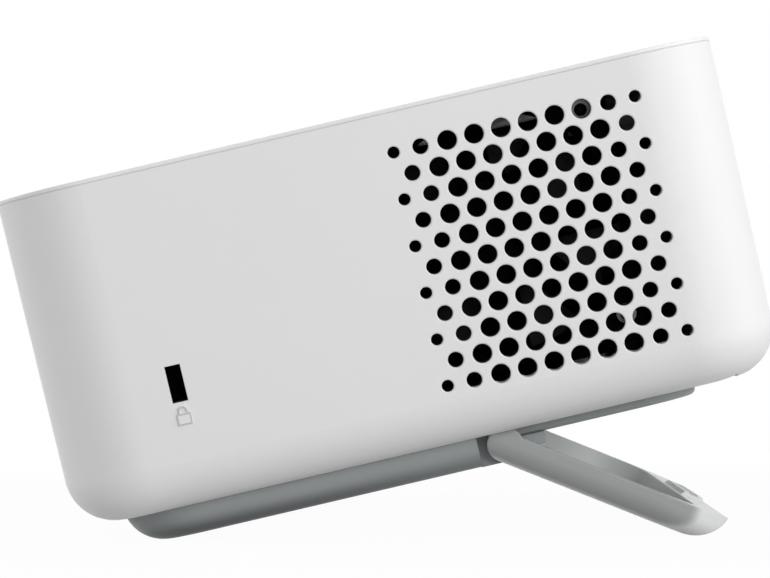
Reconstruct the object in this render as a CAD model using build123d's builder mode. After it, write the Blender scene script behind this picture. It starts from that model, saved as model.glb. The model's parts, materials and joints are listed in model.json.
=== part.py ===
from build123d import *
from math import asin, atan2, cos, degrees, hypot, radians, sin, tan
import os

# A projector with a slim disc drive, propped up on its fold-out stand.
#
# Every piece is modelled in the level frame, in millimetres: X along the width, Y towards the
# rear, Z up from the sole of the base, with the lens and the disc tray at the front (-Y).
# "stance" then tilts each finished piece into the standing pose, with its lowest points on Z = 0.

# ---- fits ----------------------------------------------------------------------------
fit = 0.3                  # gap between pieces that move past each other or drop in loosely
running = 0.05             # radial clearance of a shaft in its bore

# ---- body ----------------------------------------------------------------------------
body_width = 220.0         # across the rim
body_depth = 140.5
body_top = 71.0
base_height = 6.0          # the shell's underside stands this far above the sole
end_lean = 7.2             # degrees that each end leans in towards the bottom
corner_radius = 17.0
bottom_round = 9.6
wall = 2.5
cover_edge = 0.9           # thickness of the cover that shows above the rim
cover_plug = 1.1           # depth of the cover's plug between the walls
cover_groove = 0.2         # chamfer that shows as the parting line over the shell
clip_width = 12.0
clip_drop = 4.0
clip_thickness = 1.2

# ---- vents, lock slot and its mark ---------------------------------------------------
vent_pitch = 5.2
vent_row_pitch = 4.576
vent_rows = 11
vent_columns = 10
vent_y = -29.4
vent_z = 39.9
vent_large = 1.87
vent_medium = 1.5
vent_small = 1.15
vent_edge = 0.2
lock_width = 3.0
lock_height = 7.2
lock_y = 44.1
lock_z = 29.4
mark_below_lock = 6.9
mark_width = 2.8
mark_height = 2.2
mark_relief = 0.2
mark_line = 0.35
shackle_height = 3.2
shackle_width = 1.9

# ---- base and stand ------------------------------------------------------------------
base_inset = 16.7          # from the rim to each side of the base
base_rear_radius = 8.0     # of the lower edge all round
base_rear_centre = 53.1
base_corner = 15.0
block_front = -9.1         # where the full-height block gives way to the arms of the stand
platform_front = -53.4
platform_bottom = 4.2
platform_nose = 1.2
lug_front = -22.3
lug_width = 12.0
lug_bottom = 1.9
relief = 1.3               # depth of the pocket under the shell that takes the folded stand
pivot_y = -14.3
knuckle_radius = 3.5
pin_radius = 1.25
pin_depth = 8.0            # length of the hinge pin inside the base
arm_width = 5.0
arm_skin = 1.2             # left outside the pin at the end of the arm
arm_length = 8.0
stand_reach = 46.2         # from the pivot to the tip, folded
stand_thickness = 5.9
stand_tip_radius = 9.0     # of the round under the tip
stand_corner_lead = 0.4    # the outline's corners start this far ahead of the tip's edge
stand_floor = 1.6
stand_wall = 3.0
stand_round = 4.0          # of the lower edge along its sides
stand_ledge = 7.0
lip_width = 54.0
lip_raise = 0.9
lip_taper = 35.0
lip_grooves = 4
lip_groove = 0.25
open_angle = 34.8          # degrees that the stand has swung down from folded
pad_thickness = 1.0
pad_width = 18.0
pad_flat = 9.0             # flat stretch of each pad before it wraps its round edge
pad_wrap = 45.0            # degrees of the round edge that a pad covers
pad_inset = 36.3           # from the side of the base to the middle of a pad
tripod_y = 20.0
tripod_radius = 2.55       # tapping radius of a 1/4 inch camera thread
tripod_depth = 5.0
insert_radius = 4.5
screw_inset = 17.3         # from the side of the base to a screw
screw_rows = (8.0, 46.0)
screw_radius = 1.5
screw_head_radius = 2.6
screw_head = 1.6
screw_sink = 1.6           # depth of the screw heads' tops under the sole
screw_bite = 4.0
socket_radius = 1.0
boss_radius = 4.0
boss_height = 5.0

# ---- lens and light engine -----------------------------------------------------------
lens_z = 40.0
bezel_radius = 22.0
bezel_rim = 2.4
bezel_depth = 1.2          # of the bezel's seat in the front wall, which it fills flush
bezel_sleeve = 1.1         # wall of the sleeve that lines the opening in the front wall
sleeve_length = 6.0
ring_wall = 2.0
ring_length = 7.5
ring_grooves = 36
ring_groove_radius = 0.5
barrel_wall = 2.3
barrel_recess = 0.85       # from the front of the body to the end of the barrel
barrel_flange_rim = 1.7
barrel_flange_thickness = 3.0
lens_thickness = 6.0
lens_bulge = 2.2
lens_recess = 1.2
engine_width = 38.0
engine_front = -40.0
engine_length = 62.0
engine_rim = 1.0           # from the barrel's flange to the top and bottom of the engine
engine_wall = 2.0
engine_post_radius = 4.0
engine_post_inset = 6.0
prism_size = 16.0
prism_offset = 10.0        # from the inside of the engine's front wall
led_gap = 3.0
led_plate_thickness = 1.5
led_dome = 3.0
board_thickness = 1.6
imager_board_length = 38.0
imager_board_height = 32.0
sink_base = 3.0
sink_depth = 30.0
sink_height = 42.0
sink_fins = 11
sink_fin = 1.0

# ---- fan -----------------------------------------------------------------------------
fan_size = 50.0
fan_depth = 8.0
fan_standoff = 2.0
fan_y = -22.4
fan_top_gap = 0.35         # from the fan's highest corner to the cover
fan_rim = 1.6
fan_corner = 3.0
fan_screw_inset = 5.0
fan_screw_head_radius = 1.9
fan_screw_head = 0.8
fan_hub = 11.0
fan_blades = 7
fan_blade_thickness = 1.2
fan_blade_chord = 8.0
fan_blade_tilt = 38.0
fan_plate = 1.2
fan_spoke = 2.4
fan_axle = 1.5
fan_rib = 2.0
fan_peg_radius = 1.2

# ---- disc drive ----------------------------------------------------------------------
drive_width = 128.0
drive_depth = 124.0
drive_height = 12.7
drive_bottom = 50.0
drive_setback = 8.25       # from the front of the body to the drive
sheet = 1.0
tray_play = 1.3            # above the chassis floor
tray_back = 1.0            # ahead of the chassis's rear edge
tray_travel = 126.0
tray_rise = 9.2            # from the drive's underside to the tray's top
ledge_rise = 6.0           # from the drive's underside to the ledges over the rails
tray_skin = 1.2
tray_rib = 2.4
rail_width = 2.4
rail_hold = 55.0           # length of a rail that is still in the drive when the tray is out
disc_radius = 60.0
disc_clearance = 0.6
disc_recess = 1.6
disc_y = -5.0
bezel_overhang = 1.0
hub_radius = 7.2
hub_height = 2.4
motor_radius = 9.5
motor_shaft = 1.0
rod_radius = 1.0
rod_spacing = 36.0
sled_width = 42.0
sled_length = 14.0
sled_height = 3.4
sled_rest = 24.0           # from the disc's centre to the sled's middle
sled_travel = 28.0
pickup_radius = 2.6
pickup_thickness = 0.8
drive_key_radius = 1.6
drive_key_inset = 9.0
drive_key_travel = 0.4
drive_post_radius = 3.5
drive_post_inset = 4.0
ribbon_width = 30.0
ribbon_thickness = 0.4
ribbon_y = 55.0

# ---- boards, ports and keys ----------------------------------------------------------
main_board_inset = 9.0     # from the drive's left side
main_board_width = 110.0
main_board_front = -50.0
main_board_length = 113.0
main_board_bottom = 18.0
processor_size = 24.0
memory_width = 12.0
memory_length = 18.0
chip_thickness = 2.2
standoff_radius = 3.0
standoff_inset = 5.5
port_recess = 1.2          # from the outside of the rear wall to a port's mouth
port_shell = 0.6
port_gap = 1.2             # beside the tongue
video_offset = -20.0        # from the middle of the drive, as for the other ports
video_width = 15.2
video_height = 6.0
data_offset = 4.0
data_width = 14.4
data_height = 7.0
port_depth = 12.0
port_cavity = 9.0
port_tongue = 1.6
jack_offset = 24.0
jack_size = 7.6
jack_radius = 1.75
jack_depth = 14.0
inlet_offset = 42.0
inlet_size = 11.0
inlet_radius = 2.75
inlet_pin = 1.0
keypad_end = 62.8          # from the rim's right end to the middle of the keypad
keypad_y = 26.0
keypad_width = 78.0
keypad_length = 44.0
keypad_thickness = 1.2
keypad_drop = 4.0          # from the underside of the cover to the top of the board
switch_size = 5.0
key_travel = 0.5
key_proud = 0.8
key_flange = 1.2
key_flange_thickness = 0.9
key_layout = {             # place from the middle of the keypad, and radius
    "ok_key": (0.0, 0.0, 5.5),
    "up_key": (0.0, 14.0, 4.5),
    "down_key": (0.0, -14.0, 4.5),
    "left_key": (-14.0, 0.0, 4.5),
    "right_key": (14.0, 0.0, 4.5),
    "power_key": (29.0, 10.0, 5.0),
    "play_key": (29.0, -10.0, 4.5),
    "disc_key": (-31.0, 0.0, 4.5),
}

# ---- speaker and small front pieces --------------------------------------------------
speaker_width = 46.0
speaker_height = 34.0
speaker_plate = 1.5
speaker_depth = 8.0
speaker_magnet = 11.0
speaker_taper = 20.0
cone_radius = 14.5
cone_depth = 3.5
cone_thickness = 0.5
cone_taper = 30.0
speaker_gap = 0.6          # under the drive
window_offset = -46.0      # from the middle of the drive, as for the status light
window_z = 38.0
window_width = 12.0
window_height = 6.0
light_offset = -30.0
light_radius = 1.2

# ---- values that follow --------------------------------------------------------------
rim = body_top - cover_edge
shell_floor = base_height + wall
relief_top = base_height + relief
plug_bottom = rim - cover_plug
front = -body_depth / 2
rear = body_depth / 2
base_width = body_width - 2 * base_inset
base_half = base_width / 2
hinge_half = base_half - arm_width - fit
screw_x = base_half - screw_inset
pad_x = base_half - pad_inset
tip_y = pivot_y - stand_reach
tip_rise = stand_tip_radius - stand_thickness
tip_centre_y = tip_y + (stand_tip_radius**2 - tip_rise**2) ** 0.5
lean = radians(end_lean)


def width_at(height):
    """Outside width of the body at a height."""
    return body_width - 2 * (rim - height) * tan(lean)


fan_reach = fan_standoff + fan_depth
fan_z = plug_bottom - fan_top_gap - fan_size / 2 * cos(lean) - fan_reach * sin(lean)
fan_inside = wall + fan_reach * cos(lean) + fan_size / 2 * sin(lean) - width_at(fan_z) / 2

# The width that the fan, the light engine with its board and the drive leave free goes into five
# equal gaps: one on each side of the engine, and three between the drive and the end wall, beyond
# what the wall's rounded corner takes.
inner_corner = corner_radius - wall
corner_ahead = inner_corner - drive_setback + wall
corner_gap = inner_corner - (inner_corner**2 - corner_ahead**2) ** 0.5 + fit
room_right = width_at(drive_bottom) / 2 - wall - corner_gap
free_width = room_right - fan_inside - engine_width - board_thickness - drive_width
free_gap = free_width / 5
lens_x = fan_inside + free_gap + engine_width / 2
drive_x = room_right - 3 * free_gap - drive_width / 2
drive_left = drive_x - drive_width / 2
drive_front = front + drive_setback
drive_rear = drive_front + drive_depth
tray_top = drive_bottom + tray_rise
tray_ledge = drive_bottom + ledge_rise
tray_bottom = drive_bottom + sheet + tray_play
tray_rear = drive_rear - sheet - tray_back
tray_half = drive_width / 2 - sheet - fit - rail_width - fit
shelf_half = drive_width / 2 - sheet - 2 * fit
rail_length = tray_travel / 2 + rail_hold
motor_top = tray_top - disc_recess - fit
bezel_plate_height = drive_height - sheet

fan_bore = fan_size / 2 - fan_rim
fan_blade_tip = fan_bore - 2 * fit
fan_screw_spacing = fan_size - 2 * fan_screw_inset
fan_peg_x = fan_size / 2 - 2 * fan_peg_radius

bezel_bore = bezel_radius - bezel_rim
sleeve_radius = bezel_bore + bezel_sleeve
ring_radius = bezel_bore - fit
barrel_radius = ring_radius - ring_wall
barrel_bore = barrel_radius - barrel_wall
barrel_flange = barrel_radius + barrel_flange_rim
barrel_front = front + barrel_recess
engine_height = 2 * (barrel_flange + engine_rim)
engine_bottom = lens_z - engine_height / 2
engine_rear = engine_front + engine_length
led_spacing = (engine_width - 2 * engine_wall) / 3
led_plate = led_spacing - led_gap

speaker_z = drive_bottom - speaker_gap - speaker_height / 2 * cos(lean)
board_top = main_board_bottom + board_thickness
main_board_left = drive_left + main_board_inset
video_x = drive_x + video_offset
data_x = drive_x + data_offset
jack_x = drive_x + jack_offset
inlet_x = drive_x + inlet_offset
window_x = drive_x + window_offset
light_x = drive_x + light_offset
keypad_x = body_width / 2 - keypad_end
keypad_top = plug_bottom - keypad_drop
keys = {
    name: (keypad_x + x, keypad_y + y, radius) for name, (x, y, radius) in key_layout.items()
}
key_gap = key_travel + fit     # from a key's underside to its switch


def end_plane(side, y, z, inside=0.0):
    """Plane on an end wall, or inside it, with its normal pointing out and its y axis up."""
    return Plane(
        origin=(side * (width_at(z) / 2 - inside), y, z),
        x_dir=(0, side, 0),
        z_dir=(side * cos(lean), 0, -sin(lean)),
    )


def bowl(inset, bottom, top, edge):
    """The body's form with leaning ends and a rounded bottom edge, drawn in by an inset."""
    with BuildPart() as form:
        for height in (bottom, top):
            with BuildSketch(Plane.XY.offset(height)):
                RectangleRounded(
                    width_at(height) - 2 * inset, body_depth - 2 * inset, corner_radius - inset
                )
        loft()
        fillet(form.faces().sort_by(Axis.Z)[0].edges(), edge)
    return form.part


# ---- standing pose: the floor line touches the base's rear round and the stand's tip round 
swing = radians(open_angle)
tip_ahead = pivot_y - tip_centre_y
tip_above = stand_tip_radius - knuckle_radius
open_tip_y = pivot_y - tip_ahead * cos(swing) - tip_above * sin(swing)
open_tip_z = knuckle_radius + tip_above * cos(swing) - tip_ahead * sin(swing)
run = base_rear_centre - open_tip_y
drop = base_rear_radius - open_tip_z
tilt = atan2(drop, run) - asin((base_rear_radius - stand_tip_radius) / hypot(run, drop))
floor_drop = base_rear_radius * (cos(tilt) - 1) - base_rear_centre * sin(tilt)
rear_reach = rear * cos(tilt) + body_top * sin(tilt)
front_reach = (
    (front + bottom_round) * cos(tilt) + (base_height + bottom_round) * sin(tilt) - bottom_round
)
stance = Location((0, -(rear_reach + front_reach) / 2, -floor_drop)) * Location(
    (0, 0, 0), (-degrees(tilt), 0, 0)
)
hinge_line = Location((0, pivot_y, knuckle_radius))
opened = hinge_line * Location((0, 0, 0), (open_angle, 0, 0)) * hinge_line.inverse()

os.makedirs("parts", exist_ok=True)


def finish(piece, name, swung=Location()):
    """Labels a finished piece, stands it up and writes it."""
    standing = (stance * swung) * piece.part
    standing.label = name
    export_step(standing, f"parts/{name}.step")


# ==== shell ===========================================================================
outer_form = bowl(0.0, base_height, rim, bottom_round)
inner_form = bowl(wall, shell_floor, rim, bottom_round - wall)
fan_seat = end_plane(-1, fan_y, fan_z, inside=wall)
engine_posts = [
    (lens_x + sx * (engine_width / 2 - engine_post_inset), y)
    for sx in (-1, 1)
    for y in (engine_front + engine_post_inset, engine_rear - engine_post_inset)
]
standoffs = [
    (x, y)
    for x in (
        main_board_left + standoff_inset,
        main_board_left + main_board_width - standoff_inset,
    )
    for y in (
        main_board_front + standoff_inset,
        main_board_front + main_board_length - standoff_inset,
    )
]
drive_posts = [
    (drive_x + sx * (drive_width / 2 - drive_post_inset), y)
    for sx in (-1, 1)
    for y in (drive_front + drive_post_inset, drive_rear - drive_post_inset)
]
screw_spots = [(side * screw_x, y) for side in (-1, 1) for y in screw_rows]
posts = (
    (engine_posts, engine_post_radius, engine_bottom),
    (standoffs, standoff_radius, main_board_bottom),
    (drive_posts, drive_post_radius, drive_bottom),
    (screw_spots, boss_radius, shell_floor + boss_height),
)


def vent_field():
    """Staggered round holes that shrink in two steps towards both sides of each row."""
    for row in range(vent_rows):
        short = row % 2
        holes = vent_columns - short
        for column in range(holes):
            from_side = min(column, holes - 1 - column) + short
            radius = {0: vent_small, 1: vent_medium}.get(from_side, vent_large)
            x = (column - (holes - 1) / 2) * vent_pitch
            y = ((vent_rows - 1) / 2 - row) * vent_row_pitch
            with Locations((x, y)):
                Circle(radius)


with BuildPart() as ribs:
    for spots, radius, top in posts:
        with BuildSketch(Plane.XY.offset(shell_floor - wall / 2)):
            with Locations(*spots):
                Circle(radius)
        extrude(amount=top - shell_floor + wall / 2)
    # two ribs carry the fan from below and three pegs hold it off the end wall
    with BuildSketch(fan_seat.offset(-fan_standoff)):
        with Locations((-fan_peg_x, -fan_size), (fan_peg_x, -fan_size)):
            Rectangle(fan_rib, fan_size)
    extrude(amount=-fan_depth)
    with BuildSketch(fan_seat.offset(wall / 2)):
        with Locations((-fan_peg_x, -fan_peg_x), (-fan_peg_x, fan_peg_x), (fan_peg_x, fan_peg_x)):
            Circle(fan_peg_radius)
    extrude(amount=-fan_standoff - wall / 2)
    add(outer_form, mode=Mode.INTERSECT)

with BuildPart() as shell:
    add(outer_form)
    add(inner_form, mode=Mode.SUBTRACT)
    add(ribs.part)
    # pocket under the floor for the folded stand
    with BuildSketch(Plane.XY.offset(base_height)):
        with Locations((0, (block_front + front + bottom_round) / 2)):
            Rectangle(base_width + 2 * fit, block_front - front - bottom_round + 2 * fit)
    extrude(amount=relief, mode=Mode.SUBTRACT)
    # screws from below, and the thread insert's clearance
    with BuildSketch(Plane.XY.offset(base_height)):
        with Locations(*screw_spots):
            Circle(screw_radius)
    extrude(amount=wall + screw_bite, mode=Mode.SUBTRACT)
    # vents in both ends
    for side in (-1, 1):
        with BuildSketch(end_plane(side, vent_y, vent_z)):
            vent_field()
        extrude(amount=-wall, mode=Mode.SUBTRACT)
    # lock slot
    with BuildSketch(end_plane(-1, lock_y, lock_z)):
        Rectangle(lock_width, lock_height)
    extrude(amount=-wall, mode=Mode.SUBTRACT)
    # lens, tray, window and status light in the front wall
    with BuildSketch(Plane.XZ.offset(-front)):
        with Locations((lens_x, lens_z)):
            Circle(sleeve_radius)
        with Locations((drive_x, drive_bottom + drive_height / 2)):
            Rectangle(
                drive_width + 2 * bezel_overhang + 2 * fit, bezel_plate_height + 2 * fit
            )
        with Locations((window_x, window_z)):
            SlotOverall(window_width, window_height)
        with Locations((light_x, window_z)):
            Circle(light_radius)
    extrude(amount=-wall, mode=Mode.SUBTRACT)
    # seat that takes the lens bezel flush
    with BuildSketch(Plane.XZ.offset(-front)):
        with Locations((lens_x, lens_z)):
            Circle(bezel_radius)
    extrude(amount=-bezel_depth, mode=Mode.SUBTRACT)
    # ports in the rear wall
    with BuildSketch(Plane.XZ.offset(-rear)):
        with Locations((video_x, board_top + video_height / 2)):
            Rectangle(video_width + 2 * fit, video_height + 2 * fit)
        with Locations((data_x, board_top + data_height / 2)):
            Rectangle(data_width + 2 * fit, data_height + 2 * fit)
        with Locations((jack_x, board_top + jack_size / 2)):
            Circle(jack_size / 2)
        with Locations((inlet_x, board_top + inlet_size / 2)):
            Circle(inlet_size / 2)
    extrude(amount=wall, mode=Mode.SUBTRACT)
    # soften the vent rims and the lock slot's mouth
    for side in (-1, 1):
        face_plane = end_plane(side, vent_y, vent_z)
        rims = shell.edges().filter_by(GeomType.CIRCLE).filter_by(
            lambda edge: edge.radius <= vent_large
            and abs(face_plane.to_local_coords(edge.arc_center).Z) < vent_edge
        )
        chamfer(rims, vent_edge)
    # raised padlock mark under the lock slot
    with BuildSketch(end_plane(-1, lock_y, lock_z - mark_below_lock)):
        with Locations((0, mark_height / 2)):
            SlotOverall(shackle_height, shackle_width, rotation=90)
            SlotOverall(
                shackle_height - 2 * mark_line,
                shackle_width - 2 * mark_line,
                rotation=90,
                mode=Mode.SUBTRACT,
            )
        Rectangle(mark_width, mark_height)
    extrude(amount=mark_relief)
finish(shell, "shell")

# ==== top cover =======================================================================
plug_width = width_at(plug_bottom) - 2 * (wall + fit)
plug_depth = body_depth - 2 * (wall + fit)
key_spots = [(x, y) for x, y, radius in keys.values()]
keypad_bosses = [
    (
        keypad_x + sx * (keypad_width / 2 - standoff_radius),
        keypad_y + sy * (keypad_length / 2 - standoff_radius),
    )
    for sx in (-1, 1)
    for sy in (-1, 1)
]

with BuildPart() as top_cover:
    with BuildSketch(Plane.XY.offset(rim)):
        RectangleRounded(body_width, body_depth, corner_radius)
    extrude(amount=cover_edge)
    chamfer(top_cover.edges().group_by(Axis.Z)[0], cover_groove)
    fillet(top_cover.edges().group_by(Axis.Z)[-1], cover_groove)
    with BuildSketch(Plane.XY.offset(plug_bottom)):
        RectangleRounded(plug_width, plug_depth, corner_radius - wall - fit)
    extrude(amount=cover_plug)
    with BuildSketch(Plane.XY.offset(keypad_top)):
        with Locations(*keypad_bosses):
            Circle(standoff_radius)
    extrude(amount=keypad_drop)
    # clips that snap behind the front and rear walls
    with BuildSketch(Plane.XY.offset(plug_bottom - clip_drop)):
        for side in (-1, 1):
            with Locations((0, side * (plug_depth - clip_thickness) / 2)):
                with GridLocations(plug_width / 2, 0, 2, 1):
                    Rectangle(clip_width, clip_thickness)
    extrude(amount=clip_drop)
    with BuildSketch(Plane.XY.offset(plug_bottom)):
        for x, y, radius in keys.values():
            with Locations((x, y)):
                Circle(radius + fit)
    extrude(amount=cover_plug + cover_edge, mode=Mode.SUBTRACT)
finish(top_cover, "top_cover")


def dish(start, end, edge):
    """Outline shared by the base and the stand, with rounded corners and lower edges."""
    with BuildPart() as form:
        with BuildSketch(Plane.XY):
            with Locations((0, (start + end) / 2)):
                RectangleRounded(base_width, end - start, base_corner)
        extrude(amount=body_top)
        fillet(form.faces().sort_by(Axis.Z)[0].edges(), edge)
    return form.part


def rubber_strip(side, y, radius, way):
    """Profile of a rubber strip that lies in the sole and wraps a round edge at its end."""
    turn = radians(pad_wrap)
    inner = radius - pad_thickness
    with BuildSketch(Plane.YZ.offset(side * pad_x - pad_width / 2)) as strip:
        with BuildLine():
            outside = RadiusArc(
                (y, 0), (y + way * radius * sin(turn), radius - radius * cos(turn)), -way * radius
            )
            end = Line(outside @ 1, (y + way * inner * sin(turn), radius - inner * cos(turn)))
            inside = RadiusArc(end @ 1, (y, pad_thickness), way * inner)
            Polyline(
                inside @ 1, (y - way * pad_flat, pad_thickness), (y - way * pad_flat, 0), (y, 0)
            )
        make_face()
    return strip.sketch


# ==== base ============================================================================
base_rear = base_rear_centre + base_rear_radius
with BuildPart() as base:
    with BuildSketch(Plane.XY):
        with Locations((0, block_front)):
            Rectangle(base_width, base_rear - block_front, align=(Align.CENTER, Align.MIN))
    extrude(amount=base_height)
    add(dish(front, base_rear, base_rear_radius), mode=Mode.INTERSECT)
    # hinge block between the arms, its front end round about the hinge line
    with BuildSketch(Plane.YZ.offset(-hinge_half)):
        with Locations((pivot_y, knuckle_radius)):
            Circle(knuckle_radius)
        with Locations((block_front, 0)):
            Rectangle(block_front - pivot_y, relief_top, align=(Align.MAX, Align.MIN))
        with Locations((block_front, base_height)):
            Rectangle(
                block_front - pivot_y + knuckle_radius,
                relief_top - base_height,
                align=(Align.MAX, Align.MIN),
            )
    extrude(amount=2 * hinge_half)
    # platform under the shell, its front corners rounded like the stand's hollow that takes it
    with BuildSketch(Plane.XY.offset(platform_bottom)):
        with Locations((0, (pivot_y + block_front) / 2)):
            Rectangle(2 * hinge_half, block_front - pivot_y)
        with Locations((0, platform_front)):
            with Locations((0, block_front - platform_front)):
                RectangleRounded(
                    2 * hinge_half,
                    2 * (block_front - platform_front),
                    base_corner - stand_wall,
                )
        with Locations((0, block_front)):
            Rectangle(
                base_width,
                rear - front,
                align=(Align.CENTER, Align.MIN),
                mode=Mode.SUBTRACT,
            )
    extrude(amount=relief_top - platform_bottom)
    nose = base.edges().filter_by(Axis.X).group_by(Axis.Y)[0].sort_by(Axis.Z)[0]
    fillet(nose, platform_nose)
    # lugs that carry the ends of the hinge pins
    with BuildSketch(Plane.XY.offset(lug_bottom)):
        for side in (-1, 1):
            with Locations((side * (hinge_half - lug_width / 2), (pivot_y + lug_front) / 2)):
                Rectangle(lug_width, pivot_y - lug_front)
    extrude(amount=platform_bottom - lug_bottom)
    # bores for the hinge pins
    for side in (-1, 1):
        with BuildSketch(Plane.YZ.offset(side * (hinge_half - pin_depth))):
            with Locations((pivot_y, knuckle_radius)):
                Circle(pin_radius)
        extrude(amount=side * pin_depth, mode=Mode.SUBTRACT)
    # counterbored screws and the thread insert
    with Locations(*[(x, y, 0) for x, y in screw_spots]):
        with Locations(Location((0, 0, 0), (180, 0, 0))):
            CounterBoreHole(screw_radius, screw_head_radius, screw_sink + screw_head)
    with BuildSketch(Plane.XY):
        with Locations((0, tripod_y)):
            Circle(insert_radius)
    extrude(amount=base_height, mode=Mode.SUBTRACT)
    # seats of the rubber feet along the rear round
    for side in (-1, 1):
        strip = rubber_strip(side, base_rear_centre, base_rear_radius, 1)
        extrude(strip, amount=pad_width, mode=Mode.SUBTRACT)
finish(base, "base")

with BuildPart() as base_feet:
    for side in (-1, 1):
        strip = rubber_strip(side, base_rear_centre, base_rear_radius, 1)
        extrude(strip, amount=pad_width)
finish(base_feet, "base_feet")

with BuildPart() as base_screws:
    with BuildSketch(Plane.XY.offset(screw_sink)):
        with Locations(*screw_spots):
            Circle(screw_head_radius)
    extrude(amount=screw_head)
    with BuildSketch(Plane.XY.offset(screw_sink + screw_head)):
        with Locations(*screw_spots):
            Circle(screw_radius)
    extrude(amount=base_height - screw_sink - screw_head + wall + screw_bite)
    with BuildSketch(Plane.XY.offset(screw_sink)):
        with Locations(*screw_spots):
            RegularPolygon(socket_radius, 6)
    extrude(amount=screw_head / 2, mode=Mode.SUBTRACT)
finish(base_screws, "base_screws")

with BuildPart() as tripod_insert:
    with BuildSketch(Plane.XY):
        with Locations((0, tripod_y)):
            Circle(insert_radius)
    extrude(amount=base_height)
    with BuildSketch(Plane.XY):
        with Locations((0, tripod_y)):
            Circle(tripod_radius)
    extrude(amount=tripod_depth, mode=Mode.SUBTRACT)
finish(tripod_insert, "tripod_insert")

with BuildPart() as hinge_pins:
    for side in (-1, 1):
        with BuildSketch(Plane.YZ.offset(side * (hinge_half - pin_depth))):
            with Locations((pivot_y, knuckle_radius)):
                Circle(pin_radius)
        extrude(amount=side * (pin_depth + arm_width - arm_skin))
finish(hinge_pins, "hinge_pins")

# ==== stand, modelled folded and swung open when it is finished =======================
floor_back = knuckle_radius * tan(swing) + fit / cos(swing)
stand_pocket_front = tip_y + stand_ledge
with BuildPart() as stand:
    with BuildSketch(Plane.YZ.offset(-base_half)):
        with BuildLine():
            Line((pivot_y, 0), (tip_centre_y, 0))
            RadiusArc((tip_centre_y, 0), (tip_y, stand_thickness), stand_tip_radius)
            Polyline((tip_y, stand_thickness), (pivot_y, stand_thickness), (pivot_y, 0))
        make_face()
        with Locations((pivot_y, knuckle_radius)):
            Circle(knuckle_radius)
    extrude(amount=base_width)
    # raised finger lip on the middle of the front rim
    with BuildSketch(Plane.XY.offset(stand_thickness)):
        with Locations((0, tip_y + stand_ledge / 2)):
            Rectangle(lip_width, stand_ledge - 2 * lip_raise)
    extrude(amount=lip_raise, taper=lip_taper)
    # the outline's rounded front corners and lower edges
    add(dish(tip_y - stand_corner_lead, rear, stand_round), mode=Mode.INTERSECT)
    # hollow upper side
    with BuildSketch(Plane.XY.offset(stand_floor)):
        with Locations((0, (stand_pocket_front + rear) / 2)):
            RectangleRounded(
                base_width - 2 * stand_wall, rear - stand_pocket_front, base_corner - stand_wall
            )
        with Locations((0, pivot_y - arm_length)):
            for side in (-1, 1):
                with Locations((side * base_half, 0)):
                    Rectangle(
                        2 * arm_width,
                        rear - pivot_y + arm_length,
                        align=(Align.CENTER, Align.MIN),
                        mode=Mode.SUBTRACT,
                    )
    extrude(amount=body_top, mode=Mode.SUBTRACT)
    # room for the hinge block between the arms, as far as keeps the open stand off the sole's plane
    with BuildSketch(Plane.YZ.offset(-hinge_half - fit)):
        with Locations((pivot_y, knuckle_radius)):
            Circle(knuckle_radius + fit)
        with Locations((pivot_y - floor_back, 0)):
            Rectangle(rear - pivot_y + floor_back, body_top, align=(Align.MIN, Align.MIN))
    extrude(amount=2 * (hinge_half + fit), mode=Mode.SUBTRACT)
    # bores for the hinge pins, closed at the outside
    for side in (-1, 1):
        with BuildSketch(Plane.YZ.offset(side * (hinge_half + fit))):
            with Locations((pivot_y, knuckle_radius)):
                Circle(pin_radius + running)
        extrude(amount=side * (arm_width - arm_skin), mode=Mode.SUBTRACT)
    # grooves that give a fingertip grip on the lip
    with BuildSketch(Plane.XY.offset(stand_thickness + lip_raise)):
        with Locations((0, tip_y + stand_ledge / 2)):
            with GridLocations(0, 2 * lip_groove, 1, lip_grooves):
                Rectangle(lip_width, lip_groove)
    extrude(amount=-lip_groove, mode=Mode.SUBTRACT)
    # seats of the rubber pads around the tip
    for side in (-1, 1):
        strip = rubber_strip(side, tip_centre_y, stand_tip_radius, -1)
        extrude(strip, amount=pad_width, mode=Mode.SUBTRACT)
finish(stand, "stand", opened)

with BuildPart() as stand_pads:
    for side in (-1, 1):
        strip = rubber_strip(side, tip_centre_y, stand_tip_radius, -1)
        extrude(strip, amount=pad_width)
finish(stand_pads, "stand_pads", opened)

# ==== lens ============================================================================
ring_front = front + bezel_depth / 2
ring_back = ring_front + ring_length


def lens_plane(y):
    """Plane across the lens axis, with its normal pointing to the front."""
    return Plane(origin=(lens_x, y, lens_z), x_dir=(1, 0, 0), z_dir=(0, -1, 0))


with BuildPart() as lens_bezel:
    with BuildSketch(lens_plane(front)):
        Circle(bezel_radius)
    extrude(amount=-bezel_depth)
    with BuildSketch(lens_plane(front)):
        Circle(sleeve_radius)
    extrude(amount=-sleeve_length)
    with BuildSketch(lens_plane(front)):
        Circle(bezel_bore)
    extrude(amount=-sleeve_length, mode=Mode.SUBTRACT)
    chamfer(lens_bezel.edges().group_by(Axis.Y)[0].sort_by(SortBy.RADIUS)[0], bezel_depth / 2)
finish(lens_bezel, "lens_bezel")

with BuildPart() as focus_ring:
    with BuildSketch(lens_plane(ring_front)):
        Circle(ring_radius)
        Circle(barrel_radius + running, mode=Mode.SUBTRACT)
        with PolarLocations(ring_radius, ring_grooves):
            Circle(ring_groove_radius, mode=Mode.SUBTRACT)
    extrude(amount=-ring_length)
finish(focus_ring, "focus_ring")

with BuildPart() as lens_barrel:
    with BuildSketch(lens_plane(barrel_front)):
        Circle(barrel_radius)
    extrude(amount=barrel_front - engine_front)
    for flange_front in (ring_back + fit, engine_front - barrel_flange_thickness):
        with BuildSketch(lens_plane(flange_front)):
            Circle(barrel_flange)
        extrude(amount=-barrel_flange_thickness)
    with BuildSketch(lens_plane(barrel_front)):
        Circle(barrel_bore)
    extrude(amount=barrel_front - engine_front, mode=Mode.SUBTRACT)
finish(lens_barrel, "lens_barrel")


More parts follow.
